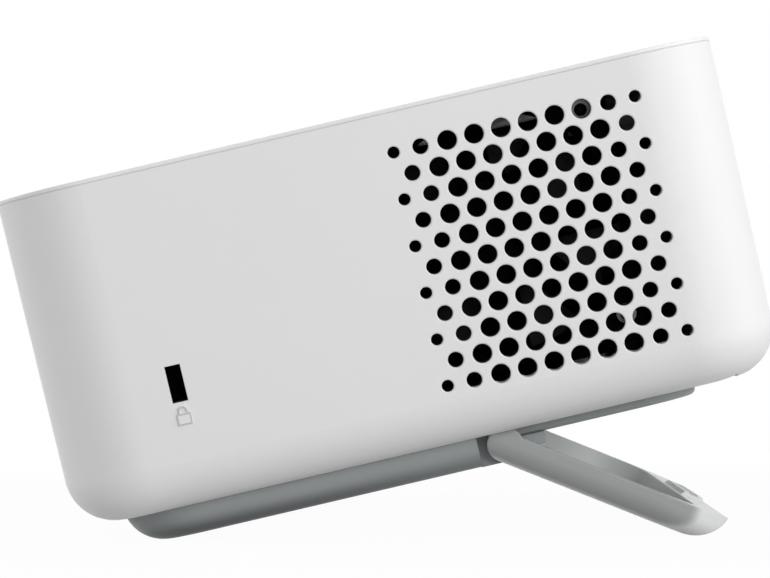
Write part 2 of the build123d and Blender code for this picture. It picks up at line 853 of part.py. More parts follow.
def lens_element(front_y, thickness, radius, bulge):
    """Glass element turned about the lens axis, bulging to the front."""
    with BuildPart() as element:
        with BuildSketch(Plane(origin=(lens_x, front_y, lens_z), x_dir=(1, 0, 0), z_dir=(0, 0, 1))):
            with BuildLine():
                TangentArc((0, -bulge), (radius, 0), tangent=(1, 0))
                Polyline((radius, 0), (radius, thickness), (0, thickness), (0, -bulge))
            make_face()
        revolve(axis=Axis((lens_x, 0, lens_z), (0, 1, 0)))
    return element


lens_radius = barrel_bore - running
front_lens = lens_element(
    barrel_front + lens_recess + lens_bulge, lens_thickness, lens_radius, lens_bulge
)
finish(front_lens, "front_lens")
rear_lens = lens_element(
    engine_front - 2 * lens_thickness, lens_thickness, lens_radius, lens_bulge
)
finish(rear_lens, "rear_lens")

# ==== light engine ====================================================================
engine_middle = (engine_front + engine_rear) / 2
prism_y = engine_front + engine_wall + prism_offset + prism_size / 2
with BuildPart() as engine_housing:
    with BuildSketch(Plane.XY.offset(engine_bottom)):
        with Locations((lens_x, engine_middle)):
            Rectangle(engine_width, engine_length)
    extrude(amount=engine_height)
    with BuildSketch(Plane.XY.offset(engine_bottom + engine_wall)):
        with Locations((lens_x, engine_middle)):
            Rectangle(engine_width - 2 * engine_wall, engine_length - 2 * engine_wall)
    extrude(amount=engine_height, mode=Mode.SUBTRACT)
    # pedestal under the prism, and the opening to the lens
    with BuildSketch(Plane.XY.offset(engine_bottom + engine_wall)):
        with Locations((lens_x, prism_y)):
            Rectangle(prism_size, prism_size)
    extrude(amount=lens_z - prism_size / 2 - engine_bottom - engine_wall)
    with BuildSketch(lens_plane(engine_front)):
        Circle(barrel_bore)
    extrude(amount=-engine_wall, mode=Mode.SUBTRACT)
    # window to the imager board in the side wall
    with BuildSketch(Plane.YZ.offset(lens_x + engine_width / 2 - engine_wall)):
        with Locations((prism_y, lens_z)):
            Rectangle(prism_size, prism_size)
    extrude(amount=engine_wall, mode=Mode.SUBTRACT)
finish(engine_housing, "engine_housing")

with BuildPart() as engine_cover:
    with BuildSketch(Plane.XY.offset(engine_bottom + engine_height)):
        with Locations((lens_x, engine_middle)):
            Rectangle(engine_width, engine_length)
    extrude(amount=engine_wall)
    with BuildSketch(Plane.XY.offset(engine_bottom + engine_height - engine_wall)):
        with Locations((lens_x, engine_middle)):
            Rectangle(
                engine_width - 2 * engine_wall - 2 * fit, engine_length - 2 * engine_wall - 2 * fit
            )
    extrude(amount=engine_wall)
finish(engine_cover, "engine_cover")

with BuildPart() as prism:
    with BuildSketch(Plane.XY.offset(lens_z - prism_size / 2)):
        with Locations((lens_x, prism_y)):
            Rectangle(prism_size, prism_size)
    extrude(amount=prism_size)
finish(prism, "prism")

with BuildPart() as imager_board:
    with BuildSketch(Plane.YZ.offset(lens_x + engine_width / 2)):
        with Locations((prism_y + board_thickness, lens_z)):
            Rectangle(imager_board_length, imager_board_height)
    extrude(amount=board_thickness)
    # the imager chip looks in through the window
    with BuildSketch(Plane.YZ.offset(lens_x + engine_width / 2)):
        with Locations((prism_y, lens_z)):
            Rectangle(prism_size - 2 * fit, prism_size - 2 * fit)
    extrude(amount=-engine_wall)
finish(imager_board, "imager_board")

for index, name in enumerate(("red_lamp", "green_lamp", "blue_lamp")):
    lamp_x = lens_x + (index - 1) * led_spacing
    inside_rear = engine_rear - engine_wall
    with BuildPart() as lamp:
        with BuildSketch(Plane.XZ.offset(-inside_rear)):
            with Locations((lamp_x, lens_z)):
                Rectangle(led_plate, led_plate)
        extrude(amount=led_plate_thickness)
        with Locations((lamp_x, inside_rear - led_plate_thickness, lens_z)):
            Sphere(led_dome, align=(Align.CENTER, Align.CENTER, Align.CENTER))
        split(bisect_by=Plane.XZ.offset(-inside_rear), keep=Keep.TOP)
    finish(lamp, name)

with BuildPart() as heat_sink:
    with BuildSketch(Plane.XZ.offset(-engine_rear)):
        with Locations((lens_x, lens_z)):
            Rectangle(engine_width, sink_height)
    extrude(amount=-sink_base)
    with BuildSketch(Plane.XZ.offset(-engine_rear - sink_base)):
        with Locations((lens_x, lens_z)):
            with GridLocations((engine_width - sink_fin) / (sink_fins - 1), 0, sink_fins, 1):
                Rectangle(sink_fin, sink_height)
    extrude(amount=-sink_depth)
finish(heat_sink, "heat_sink")

# ==== fan =============================================================================
fan_face = fan_seat.offset(-fan_standoff)
fan_back = fan_seat.offset(-fan_standoff - fan_depth)
with BuildPart() as fan_frame:
    with BuildSketch(fan_face):
        RectangleRounded(fan_size, fan_size, fan_corner)
        Circle(fan_bore, mode=Mode.SUBTRACT)
        with GridLocations(fan_screw_spacing, fan_screw_spacing, 2, 2):
            Circle(screw_radius, mode=Mode.SUBTRACT)
    extrude(amount=-fan_depth)
    with BuildSketch(fan_back):
        Circle(fan_hub)
        with PolarLocations(0, 4):
            with Locations((fan_size / 4, 0)):
                Rectangle(fan_size / 2, fan_spoke)
    extrude(amount=fan_plate)
    with BuildSketch(fan_back):
        Circle(fan_axle)
    extrude(amount=fan_depth - 2 * fan_plate)
finish(fan_frame, "fan_frame")

with BuildPart() as fan_rotor:
    hub_depth = fan_depth - fan_plate - 2 * fit
    with BuildSketch(fan_face.offset(-fit)):
        Circle(fan_hub)
    extrude(amount=-hub_depth)
    blade_middle = fan_face.offset(-fit - hub_depth / 2)
    blade_length = fan_blade_tip - fan_hub + fan_blade_thickness
    with Locations(blade_middle):
        with PolarLocations(0, fan_blades):
            with Locations(
                Location(
                    (fan_blade_tip - blade_length / 2, 0, 0), (fan_blade_tilt, 0, 0)
                )
            ):
                Box(blade_length, fan_blade_chord, fan_blade_thickness)
    with BuildSketch(fan_back.offset(fan_plate)):
        Circle(fan_axle + running)
    extrude(amount=fan_depth - 2 * fan_plate, mode=Mode.SUBTRACT)
finish(fan_rotor, "fan_rotor")

with BuildPart() as fan_screws:
    with BuildSketch(fan_face):
        with GridLocations(fan_screw_spacing, fan_screw_spacing, 2, 2):
            Circle(fan_screw_head_radius)
            RegularPolygon(socket_radius, 6, mode=Mode.SUBTRACT)
    extrude(amount=fan_screw_head)
    with BuildSketch(fan_face):
        with GridLocations(fan_screw_spacing, fan_screw_spacing, 2, 2):
            Circle(screw_radius)
    extrude(amount=-fan_depth)
finish(fan_screws, "fan_screws")

# ==== disc drive ======================================================================
drive_middle = (drive_front + drive_rear) / 2
with BuildPart() as drive_chassis:
    with BuildSketch(Plane.XY.offset(drive_bottom)):
        with Locations((drive_x, drive_middle)):
            Rectangle(drive_width, drive_depth)
    extrude(amount=drive_height - sheet)
    with BuildSketch(Plane.XY.offset(drive_bottom + sheet)):
        with Locations((drive_x, drive_middle - sheet)):
            Rectangle(drive_width - 2 * sheet, drive_depth)
    extrude(amount=drive_height, mode=Mode.SUBTRACT)
finish(drive_chassis, "drive_chassis")

with BuildPart() as drive_lid:
    with BuildSketch(Plane.XY.offset(drive_bottom + drive_height - sheet)):
        with Locations((drive_x, drive_middle)):
            Rectangle(drive_width, drive_depth)
    extrude(amount=sheet)
finish(drive_lid, "drive_lid")

bezel_back = front + wall
tray_length = tray_rear - bezel_back
sled_slot_rear = disc_y + sled_rest + sled_travel + sled_length / 2 + fit
sled_slot_front = disc_y + sled_rest - sled_length / 2 - fit
sled_top = tray_top - disc_recess - fit
with BuildPart() as tray:
    with BuildSketch(Plane.XY.offset(tray_bottom)):
        with Locations((drive_x, bezel_back)):
            Rectangle(2 * tray_half, tray_length, align=(Align.CENTER, Align.MIN))
    extrude(amount=tray_ledge - tray_bottom)
    with BuildSketch(Plane.XY.offset(tray_ledge)):
        with Locations((drive_x, bezel_back)):
            Rectangle(2 * shelf_half, tray_length, align=(Align.CENTER, Align.MIN))
    extrude(amount=tray_top - tray_ledge)
    # recess for the disc, and the hollow underside
    with BuildSketch(Plane.XY.offset(tray_top)):
        with Locations((drive_x, disc_y)):
            Circle(disc_radius + disc_clearance)
    extrude(amount=-disc_recess, mode=Mode.SUBTRACT)
    with BuildSketch(Plane.XY.offset(tray_bottom)):
        with Locations((drive_x, bezel_back + tray_rib)):
            Rectangle(
                2 * (tray_half - tray_rib),
                tray_length - 2 * tray_rib,
                align=(Align.CENTER, Align.MIN),
            )
    extrude(amount=tray_top - disc_recess - tray_skin - tray_bottom, mode=Mode.SUBTRACT)
    # motor seat in the middle, and the slot that the pickup travels in
    with BuildSketch(Plane.XY.offset(tray_bottom)):
        with Locations((drive_x, disc_y)):
            Circle(motor_radius + tray_rib)
    extrude(amount=tray_top - disc_recess - tray_bottom)
    with BuildSketch(Plane.XY.offset(tray_bottom)):
        with Locations((drive_x, disc_y)):
            Circle(motor_radius)
    extrude(amount=tray_top, mode=Mode.SUBTRACT)
    with BuildSketch(Plane.XY.offset(tray_bottom)):
        with Locations((drive_x, (sled_slot_front + sled_slot_rear) / 2)):
            Rectangle(
                sled_width + 2 * (fit + tray_rib),
                sled_slot_rear - sled_slot_front + 2 * tray_rib,
            )
            Rectangle(
                sled_width + 2 * fit, sled_slot_rear - sled_slot_front, mode=Mode.SUBTRACT
            )
    extrude(amount=tray_top - disc_recess - tray_bottom)
    with BuildSketch(Plane.XY.offset(tray_bottom)):
        with Locations((drive_x, (sled_slot_front + sled_slot_rear) / 2)):
            Rectangle(sled_width + 2 * fit, sled_slot_rear - sled_slot_front)
    extrude(amount=tray_top, mode=Mode.SUBTRACT)
finish(tray, "tray")

rod_z = tray_bottom + sled_height / 2
with BuildPart() as sled_rods:
    with BuildSketch(Plane.XZ.offset(-sled_slot_front)):
        with Locations((drive_x, rod_z)):
            with GridLocations(rod_spacing, 0, 2, 1):
                Circle(rod_radius)
    extrude(amount=-(sled_slot_rear - sled_slot_front))
finish(sled_rods, "sled_rods")

with BuildPart() as pickup_sled:
    with BuildSketch(Plane.XY.offset(tray_bottom)):
        with Locations((drive_x, disc_y + sled_rest)):
            Rectangle(sled_width, sled_length)
    extrude(amount=sled_height)
    with BuildSketch(Plane.XY.offset(tray_bottom + sled_height)):
        with Locations((drive_x, disc_y + sled_rest)):
            Rectangle(sled_width / 2, sled_length - 2 * fit)
    extrude(amount=sled_top - pickup_thickness - tray_bottom - sled_height)
    with BuildSketch(Plane.XZ.offset(-sled_slot_front)):
        with Locations((drive_x, rod_z)):
            with GridLocations(rod_spacing, 0, 2, 1):
                Circle(rod_radius + running)
    extrude(amount=-sled_length - 2 * fit, mode=Mode.SUBTRACT)
finish(pickup_sled, "pickup_sled")

with BuildPart() as pickup_lens:
    with BuildSketch(Plane.XY.offset(sled_top - pickup_thickness)):
        with Locations((drive_x, disc_y + sled_rest)):
            Circle(pickup_radius)
    extrude(amount=pickup_thickness)
    fillet(pickup_lens.edges().group_by(Axis.Z)[-1], pickup_thickness / 2)
finish(pickup_lens, "pickup_lens")

with BuildPart() as spindle_motor:
    with BuildSketch(Plane.XY.offset(tray_bottom)):
        with Locations((drive_x, disc_y)):
            Circle(motor_radius)
    extrude(amount=motor_top - tray_bottom - hub_height / 2)
    with BuildSketch(Plane.XY.offset(motor_top - hub_height / 2)):
        with Locations((drive_x, disc_y)):
            Circle(motor_shaft)
    extrude(amount=hub_height)
finish(spindle_motor, "spindle_motor")

with BuildPart() as spindle_hub:
    with BuildSketch(Plane.XY.offset(motor_top - hub_height / 2 + fit)):
        with Locations((drive_x, disc_y)):
            Circle(hub_radius)
    extrude(amount=hub_height)
    chamfer(spindle_hub.edges().group_by(Axis.Z)[-1], hub_height / 4)
    with BuildSketch(Plane.XY.offset(motor_top - hub_height / 2)):
        with Locations((drive_x, disc_y)):
            Circle(motor_shaft + running)
    extrude(amount=hub_height + fit, mode=Mode.SUBTRACT)
finish(spindle_hub, "spindle_hub")

bezel_plate_width = drive_width + 2 * bezel_overhang
bezel_plate_z = drive_bottom + drive_height / 2
drive_key_x = drive_x + bezel_plate_width / 2 - drive_key_inset
with BuildPart() as tray_bezel:
    with BuildSketch(Plane.XZ.offset(-front)):
        with Locations((drive_x, bezel_plate_z)):
            RectangleRounded(bezel_plate_width, bezel_plate_height, 2 * fit)
        with Locations((drive_key_x, bezel_plate_z)):
            Circle(drive_key_radius + fit, mode=Mode.SUBTRACT)
    extrude(amount=-wall)
    with BuildSketch(Plane.XZ.offset(-bezel_back)):
        with Locations((drive_key_x, bezel_plate_z)):
            Circle(drive_key_radius + fit + sheet)
    extrude(amount=wall - sheet - fit, mode=Mode.SUBTRACT)
finish(tray_bezel, "tray_bezel")

with BuildPart() as drive_key:
    with BuildSketch(Plane.XZ.offset(-front)):
        with Locations((drive_key_x, bezel_plate_z)):
            Circle(drive_key_radius)
    extrude(amount=-wall + drive_key_travel + fit)
    with BuildSketch(Plane.XZ.offset(-front - sheet - 2 * fit)):
        with Locations((drive_key_x, bezel_plate_z)):
            Circle(drive_key_radius + sheet)
    extrude(amount=-wall + sheet + 3 * fit + drive_key_travel)
finish(drive_key, "drive_key")

rail_bottom = drive_bottom + sheet + fit
for side, name in ((-1, "left_rail"), (1, "right_rail")):
    with BuildPart() as rail:
        with BuildSketch(Plane.XY.offset(rail_bottom)):
            with Locations((drive_x + side * (tray_half + fit + rail_width / 2), tray_rear)):
                Rectangle(rail_width, rail_length, align=(Align.CENTER, Align.MAX))
        extrude(amount=tray_ledge - fit - rail_bottom)
    finish(rail, name)

with BuildPart() as drive_ribbon:
    with BuildSketch(Plane.XY.offset(board_top)):
        with Locations((drive_x, ribbon_y)):
            Rectangle(ribbon_width, ribbon_thickness)
    extrude(amount=drive_bottom - board_top)
finish(drive_ribbon, "drive_ribbon")

# ==== main board and its ports ========================================================
with BuildPart() as main_board:
    with BuildSketch(Plane.XY.offset(main_board_bottom)):
        with Locations((main_board_left, main_board_front)):
            Rectangle(main_board_width, main_board_length, align=(Align.MIN, Align.MIN))
    extrude(amount=board_thickness)
    # memory and processor packages
    with BuildSketch(Plane.XY.offset(board_top)):
        with Locations((drive_x, drive_middle - drive_post_inset)):
            Rectangle(processor_size, processor_size)
            with GridLocations(2 * processor_size, 0, 2, 1):
                Rectangle(memory_width, memory_length)
    extrude(amount=chip_thickness)
finish(main_board, "main_board")

port_mouth = rear - port_recess
for name, x, width, height in (
    ("video_port", video_x, video_width, video_height),
    ("data_port", data_x, data_width, data_height),
):
    with BuildPart() as port:
        with BuildSketch(Plane.XZ.offset(-port_mouth)):
            with Locations((x, board_top + height / 2)):
                Rectangle(width, height)
        extrude(amount=port_depth)
        with BuildSketch(Plane.XZ.offset(-port_mouth)):
            with Locations((x, board_top + height / 2)):
                Rectangle(width - 2 * port_shell, height - 2 * port_shell)
                Rectangle(
                    width - 2 * (port_shell + port_gap), port_tongue, mode=Mode.SUBTRACT
                )
        extrude(amount=port_cavity, mode=Mode.SUBTRACT)
    finish(port, name)

with BuildPart() as audio_jack:
    with BuildSketch(Plane.XZ.offset(-port_mouth)):
        with Locations((jack_x, board_top + jack_size / 2)):
            Circle(jack_size / 2 - fit)
    extrude(amount=port_depth)
    with BuildSketch(Plane.XZ.offset(-port_mouth + wall)):
        with Locations((jack_x, board_top + jack_size / 2)):
            Rectangle(jack_size, jack_size)
    extrude(amount=port_depth)
    with BuildSketch(Plane.XZ.offset(-port_mouth)):
        with Locations((jack_x, board_top + jack_size / 2)):
            Circle(jack_radius)
    extrude(amount=jack_depth - wall, mode=Mode.SUBTRACT)
finish(audio_jack, "audio_jack")

with BuildPart() as power_inlet:
    with BuildSketch(Plane.XZ.offset(-port_mouth)):
        with Locations((inlet_x, board_top + inlet_size / 2)):
            Circle(inlet_size / 2 - fit)
    extrude(amount=port_depth)
    with BuildSketch(Plane.XZ.offset(-port_mouth + wall)):
        with Locations((inlet_x, board_top + inlet_size / 2)):
            Rectangle(inlet_size, inlet_size)
    extrude(amount=port_depth)
    with BuildSketch(Plane.XZ.offset(-port_mouth)):
        with Locations((inlet_x, board_top + inlet_size / 2)):
            Circle(inlet_radius)
            Circle(inlet_pin, mode=Mode.SUBTRACT)
    extrude(amount=port_cavity, mode=Mode.SUBTRACT)
finish(power_inlet, "power_inlet")

# ==== keypad ==========================================================================
with BuildPart() as keypad_board:
    with BuildSketch(Plane.XY.offset(keypad_top)):
        with Locations((keypad_x, keypad_y)):
            RectangleRounded(keypad_width, keypad_length, standoff_radius)
    extrude(amount=-keypad_thickness)
    with BuildSketch(Plane.XY.offset(keypad_top)):
        with Locations(*key_spots):
            Rectangle(switch_size, switch_size)
    extrude(amount=keypad_drop - fit - key_flange_thickness - key_gap)
finish(keypad_board, "keypad_board")

for name, (x, y, radius) in keys.items():
    with BuildPart() as key:
        with BuildSketch(Plane.XY.offset(plug_bottom - fit - key_flange_thickness)):
            with Locations((x, y)):
                Circle(radius + key_flange)
        extrude(amount=key_flange_thickness)
        with BuildSketch(Plane.XY.offset(plug_bottom - fit)):
            with Locations((x, y)):
                Circle(radius)
        extrude(amount=body_top + key_proud - plug_bottom + fit)
        fillet(key.edges().group_by(Axis.Z)[-1], key_proud / 2)
    finish(key, name)

# ==== speaker, receiver window and status light =======================================
speaker_seat = end_plane(1, vent_y, speaker_z, inside=wall)
with BuildPart() as speaker_frame:
    with BuildSketch(speaker_seat):
        RectangleRounded(speaker_width, speaker_height, fan_corner)
    extrude(amount=-speaker_plate)
    with BuildSketch(speaker_seat.offset(-speaker_plate)):
        Circle(cone_radius + speaker_plate)
    extrude(amount=-speaker_depth / 2, taper=speaker_taper)
    with BuildSketch(speaker_seat.offset(-speaker_plate)):
        Circle(speaker_magnet)
    extrude(amount=speaker_plate - speaker_depth)
    with BuildSketch(speaker_seat):
        Circle(cone_radius)
    extrude(amount=-cone_depth, taper=cone_taper, mode=Mode.SUBTRACT)
finish(speaker_frame, "speaker_frame")

with BuildPart() as speaker_cone:
    with BuildSketch(speaker_seat.offset(-cone_thickness)):
        Circle(cone_radius - cone_thickness * tan(radians(cone_taper)))
    extrude(amount=cone_thickness - cone_depth, taper=cone_taper)
    with BuildSketch(speaker_seat.offset(-cone_thickness)):
        Circle(cone_radius - 2 * cone_thickness)
    extrude(amount=2 * cone_thickness - cone_depth, taper=cone_taper, mode=Mode.SUBTRACT)
finish(speaker_cone, "speaker_cone")

with BuildPart() as receiver_window:
    with BuildSketch(Plane.XZ.offset(-front)):
        with Locations((window_x, window_z)):
            SlotOverall(window_width, window_height)
    extrude(amount=-wall)
    with BuildSketch(Plane.XZ.offset(-bezel_back)):
        with Locations((window_x, window_z)):
            SlotOverall(window_width + 2 * sheet, window_height + 2 * sheet)
    extrude(amount=-sheet)
finish(receiver_window, "receiver_window")

with BuildPart() as status_light:
    with BuildSketch(Plane.XZ.offset(-front)):
        with Locations((light_x, window_z)):
            Circle(light_radius)
    extrude(amount=-wall)
    with BuildSketch(Plane.XZ.offset(-bezel_back)):
        with Locations((light_x, window_z)):
            Circle(light_radius + sheet)
    extrude(amount=-sheet)
finish(status_light, "status_light")
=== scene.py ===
"""Looks of a table projector with a slim disc drive, on its fold-out stand."""

import json
import math

import bmesh
import bpy
from bpy.props import FloatProperty, FloatVectorProperty, IntProperty, PointerProperty
from mathutils import Matrix, Vector


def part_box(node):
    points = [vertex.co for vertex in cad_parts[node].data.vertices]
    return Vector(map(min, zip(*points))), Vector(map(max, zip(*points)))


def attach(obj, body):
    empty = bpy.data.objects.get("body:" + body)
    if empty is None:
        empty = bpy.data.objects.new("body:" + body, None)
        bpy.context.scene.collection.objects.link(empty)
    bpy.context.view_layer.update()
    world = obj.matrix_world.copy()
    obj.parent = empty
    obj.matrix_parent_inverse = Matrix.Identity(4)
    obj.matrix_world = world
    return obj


bl_info = {
    "name": "Projector with Disc Drive",
    "version": (1, 0, 0),
    "blender": (4, 5, 0),
    "location": "3D View > Sidebar > Projector",
    "description": "Finishes, small details and studio for a table projector with a disc drive",
    "category": "Object",
}

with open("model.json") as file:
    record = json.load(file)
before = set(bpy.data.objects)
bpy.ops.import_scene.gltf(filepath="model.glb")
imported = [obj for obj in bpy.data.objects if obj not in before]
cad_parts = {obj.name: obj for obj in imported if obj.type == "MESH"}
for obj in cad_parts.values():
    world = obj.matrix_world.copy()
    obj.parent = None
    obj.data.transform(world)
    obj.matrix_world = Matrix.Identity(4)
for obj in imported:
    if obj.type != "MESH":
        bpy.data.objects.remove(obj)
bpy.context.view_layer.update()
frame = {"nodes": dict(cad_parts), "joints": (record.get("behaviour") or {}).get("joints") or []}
nodes = frame["nodes"]
joints = {joint["name"]: joint for joint in frame["joints"]}

MM = 0.001
QUARTER = math.pi / 2  # a quarter turn
RIGHT = Vector((1, 0, 0))
FORWARD = Vector(joints["tray_slide"]["axis"]).normalized()  # the way that the lens looks
UP = FORWARD.cross(RIGHT).normalized()  # square to the tilted body's top
END_LEAN = math.radians(7.2)  # by which the body's ends lean in towards the bottom
FLAT = 0.02 * MM  # how far a face's points may lie behind its furthest one
SHARP = math.radians(30)  # angle from which an edge of a new piece is sharp
WELD = 1e-7  # distance within which a ring's points become one

CLOUD = 40 * MM  # size of the slow drifts in a moulding's tone
SHADE_EDGE = 0.55 * MM  # depth in a vent at which the painted shade inside the end walls starts
SHADE_CORNER = 17.0 * MM  # width left without painted shade at the front and rear of an end wall
SHADE_BOTTOM = 10.0 * MM  # height left without painted shade at the bottom of an end wall
STAND_SHADE_DEPTH = 1.3 * MM  # depth from a side of the stand at which its painted shade starts to give way to painted light
STAND_LIGHT_DEPTH = 2.3 * STAND_SHADE_DEPTH  # depth at which the painted light inside the stand is full
SOLE_SHADE_HEIGHT = 3.6 * MM  # height of the painted shade along the base's lower edge
SOLE_SHADE_REAR = 20.0 * MM  # distance from the base's rear at which that painted shade starts to pale
SOLE_SHADE_FRONT = 110.0 * MM  # distance at which it is gone
VENT_SHADE = 0.2  # painted shade: tone of the black pieces behind the vents, as a share of the others'


# ---- places taken from the frame ----


def end_normal(side):
    """Outward direction of the body's end at -X for a side of -1, at +X for 1."""
    return side * RIGHT * math.cos(END_LEAN) - UP * math.sin(END_LEAN)


def on_face(node, normal, across=RIGHT):
    """Matrix at the centre of the face of a node that lies furthest along a normal.

    Its Z axis is the normal, and its X axis runs across.
    """
    z = normal.normalized()
    x = (across - z * across.dot(z)).normalized()
    turn = Matrix((x, z.cross(x), z)).transposed()
    points = [turn.transposed() @ vertex.co for vertex in nodes[node].data.vertices]
    reach = max(point.z for point in points)
    face = [point for point in points if reach - point.z < FLAT]
    low = [min(point[i] for point in face) for i in range(2)]
    high = [max(point[i] for point in face) for i in range(2)]
    centre = Vector(((low[0] + high[0]) / 2, (low[1] + high[1]) / 2, reach))
    return Matrix.Translation(turn @ centre) @ turn.to_4x4()


def new_piece(name, mesh, place, body, finish):
    """Puts a finished bmesh in its place, as an object that rides on a body."""
    bmesh.ops.transform(mesh, matrix=place, verts=mesh.verts)
    bmesh.ops.recalc_face_normals(mesh, faces=mesh.faces)
    data = bpy.data.meshes.new(name)
    mesh.to_mesh(data)
    mesh.free()
    data.materials.append(finish)
    for polygon in data.polygons:
        polygon.use_smooth = True
    data.set_sharp_from_angle(angle=SHARP)
    piece = bpy.data.objects.new(name, data)
    bpy.context.scene.collection.objects.link(piece)
    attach(piece, body)


def dress(finish, *names):
    """Gives CAD nodes a finish."""
    for name in names:
        data = nodes[name].data
        data.materials.clear()
        data.materials.append(finish)


# ---- shader maths ----


class Wire:
    """A socket that takes part in Python expressions."""

    def __init__(self, web, socket):
        self.web = web
        self.socket = socket

    def _math(self, operation, *values):
        return self.web.add("ShaderNodeMath", {"operation": operation}, dict(enumerate(values)))

    def __add__(self, other):
        return self._math("ADD", self, other)

    def __radd__(self, other):
        return self._math("ADD", other, self)

    def __sub__(self, other):
        return self._math("SUBTRACT", self, other)

    def __rsub__(self, other):
        return self._math("SUBTRACT", other, self)

    def __mul__(self, other):
        return self._math("MULTIPLY", self, other)

    def __rmul__(self, other):
        return self._math("MULTIPLY", other, self)

    def __gt__(self, other):
        return self._math("GREATER_THAN", self, other)

    def __lt__(self, other):
        return self._math("LESS_THAN", self, other)

    def wrapped(self, length):
        """Remainder of the value by a length, always positive."""
        return self._math("FLOORED_MODULO", self, length)

    def size(self):
        return self._math("ABSOLUTE", self)

    def most(self, other):
        return self._math("MAXIMUM", self, other)

    def least(self, other):
        return self._math("MINIMUM", self, other)

    def between(self, low, high):
        """The value, from 0 to 1, spread over a range."""
        return low + self * (high - low)

    def fade(self, start, end):
        """0 before the start, 1 past the end, and a smooth rise between."""
        return self.web.add(
            "ShaderNodeMapRange",
            {"interpolation_type": "SMOOTHSTEP"},
            {"Value": self, "From Min": start, "From Max": end},
        )


class Web:
    """The node tree of a material, or of the world where one is given."""

    def __init__(self, name, world=None):
        self.material = world or bpy.data.materials.new(name)
        self.material.use_nodes = True
        self.tree = self.material.node_tree
        self.tree.nodes.clear()

    def add(self, kind, settings=None, inputs=None, output=0):
        """Adds a node, sets it up, fills its sockets and returns one output as a Wire."""
        node = self.tree.nodes.new(kind)
        for key, value in (settings or {}).items():
            setattr(node, key, value)
        for key, value in (inputs or {}).items():
            if isinstance(value, Wire):
                self.tree.links.new(value.socket, node.inputs[key])
            else:
                node.inputs[key].default_value = value
        return Wire(self, node.outputs[output]) if node.outputs else None

    def place(self):
        """Object coordinates: metres in the frame."""
        return self.add("ShaderNodeTexCoord", output="Object")

    def along(self, direction):
        """Distance along a direction, in metres."""
        return self.add(
            "ShaderNodeVectorMath",
            {"operation": "DOT_PRODUCT"},
            {0: self.place(), 1: tuple(direction)},
            output="Value",
        )

    def depth(self, node, outwards):
        """Distance inwards from the plane that a node touches on one side, in metres."""
        reach = max(vertex.co.dot(outwards) for vertex in nodes[node].data.vertices)
        return reach - self.along(outwards)

    def noise(self, grain, detail, roughness=0.5, stretch=(1, 1, 1)):
        """Noise whose grains are a given size, from 0 to 1."""
        vector = self.add(
            "ShaderNodeMapping", {}, {"Vector": self.place(), "Scale": stretch}
        )
        return self.add(
            "ShaderNodeTexNoise",
            {"noise_dimensions": "3D"},
            {"Vector": vector, "Scale": 1 / grain, "Detail": detail, "Roughness": roughness},
        )

    def cells(self, per_metre, feature):
        """Distance from scattered points, of which a metre has a given number."""
        return self.add(
            "ShaderNodeTexVoronoi",
            {"feature": feature},
            {"Vector": self.place(), "Scale": per_metre},
        )

    def mix(self, factor, first, second):
        """Blend of two colours by a value from 0 to 1."""
        return self.add(
            "ShaderNodeMix",
            {"data_type": "RGBA"},
            {0: factor, 6: first, 7: second},
            output=2,
        )

    def tones(self, factor, colour, start, end):
        """Blend of two tones of a colour, each given as a share of it."""
        return self.mix(factor, rgba(colour, start), rgba(colour, end))

    def bump(self, height, strength, depth, edge=0.0):
        """Relief from a height, over edges that look rounded by a radius."""
        inputs = {"Strength": strength, "Distance": depth, "Height": height}
        if edge:
            inputs["Normal"] = self.add("ShaderNodeBevel", {"samples": 6}, {"Radius": edge})
        return self.add("ShaderNodeBump", {}, inputs)

    def background(self):
        """1 for a ray from the camera, off gloss or through glass, 0 for light on the object."""
        kinds = ("Is Camera Ray", "Is Glossy Ray", "Is Transmission Ray")
        seen, glossy, through = (self.add("ShaderNodeLightPath", output=kind) for kind in kinds)
        return seen.most(glossy).most(through)

    def surface(self, inputs, fixed):
        """Ends the tree in a Principled shader with linked and fixed sockets."""
        return self.end(self.add("ShaderNodeBsdfPrincipled", {}, {**inputs, **fixed}))

    def end(self, shader, kind="ShaderNodeOutputMaterial"):
        self.add(kind, {}, {"Surface": shader})
        return self.material


def rgba(colour, scale=1.0):
    return (colour[0] * scale, colour[1] * scale, colour[2] * scale, 1.0)


# ---- finishes ----


def moulded_plastic(
    name,
    colour,
    grain,
    roughness,
    tone=0.03,
    edge=0.2 * MM,
    gloss=0.4,
    other=None,
    share=None,
):
    """Fine spark-eroded texture, with slow drifts in tone and gloss.

    Where another colour is given, share(web) says how much of it is seen at a point.
    """
    web = Web(name)
    cloud = web.noise(CLOUD, detail=3)
    speck = web.noise(grain, detail=2)
    tint = web.tones(cloud, colour, 1 - tone, 1 + tone)
    fleck = web.mix(speck * 0.25, tint, rgba(colour, 1 - 3 * tone))
    # the other colour is painted shade on the base and painted light inside the stand
    if other:
        fleck = web.mix(share(web), fleck, rgba(other))
    return web.surface(
        {
            "Base Color": fleck,
            "Roughness": cloud.between(roughness - 0.04, roughness + 0.04),
            "Normal": web.bump(speck, strength=0.35, depth=0.02 * MM, edge=edge),
        },
        {"Specular IOR Level": gloss},
    )


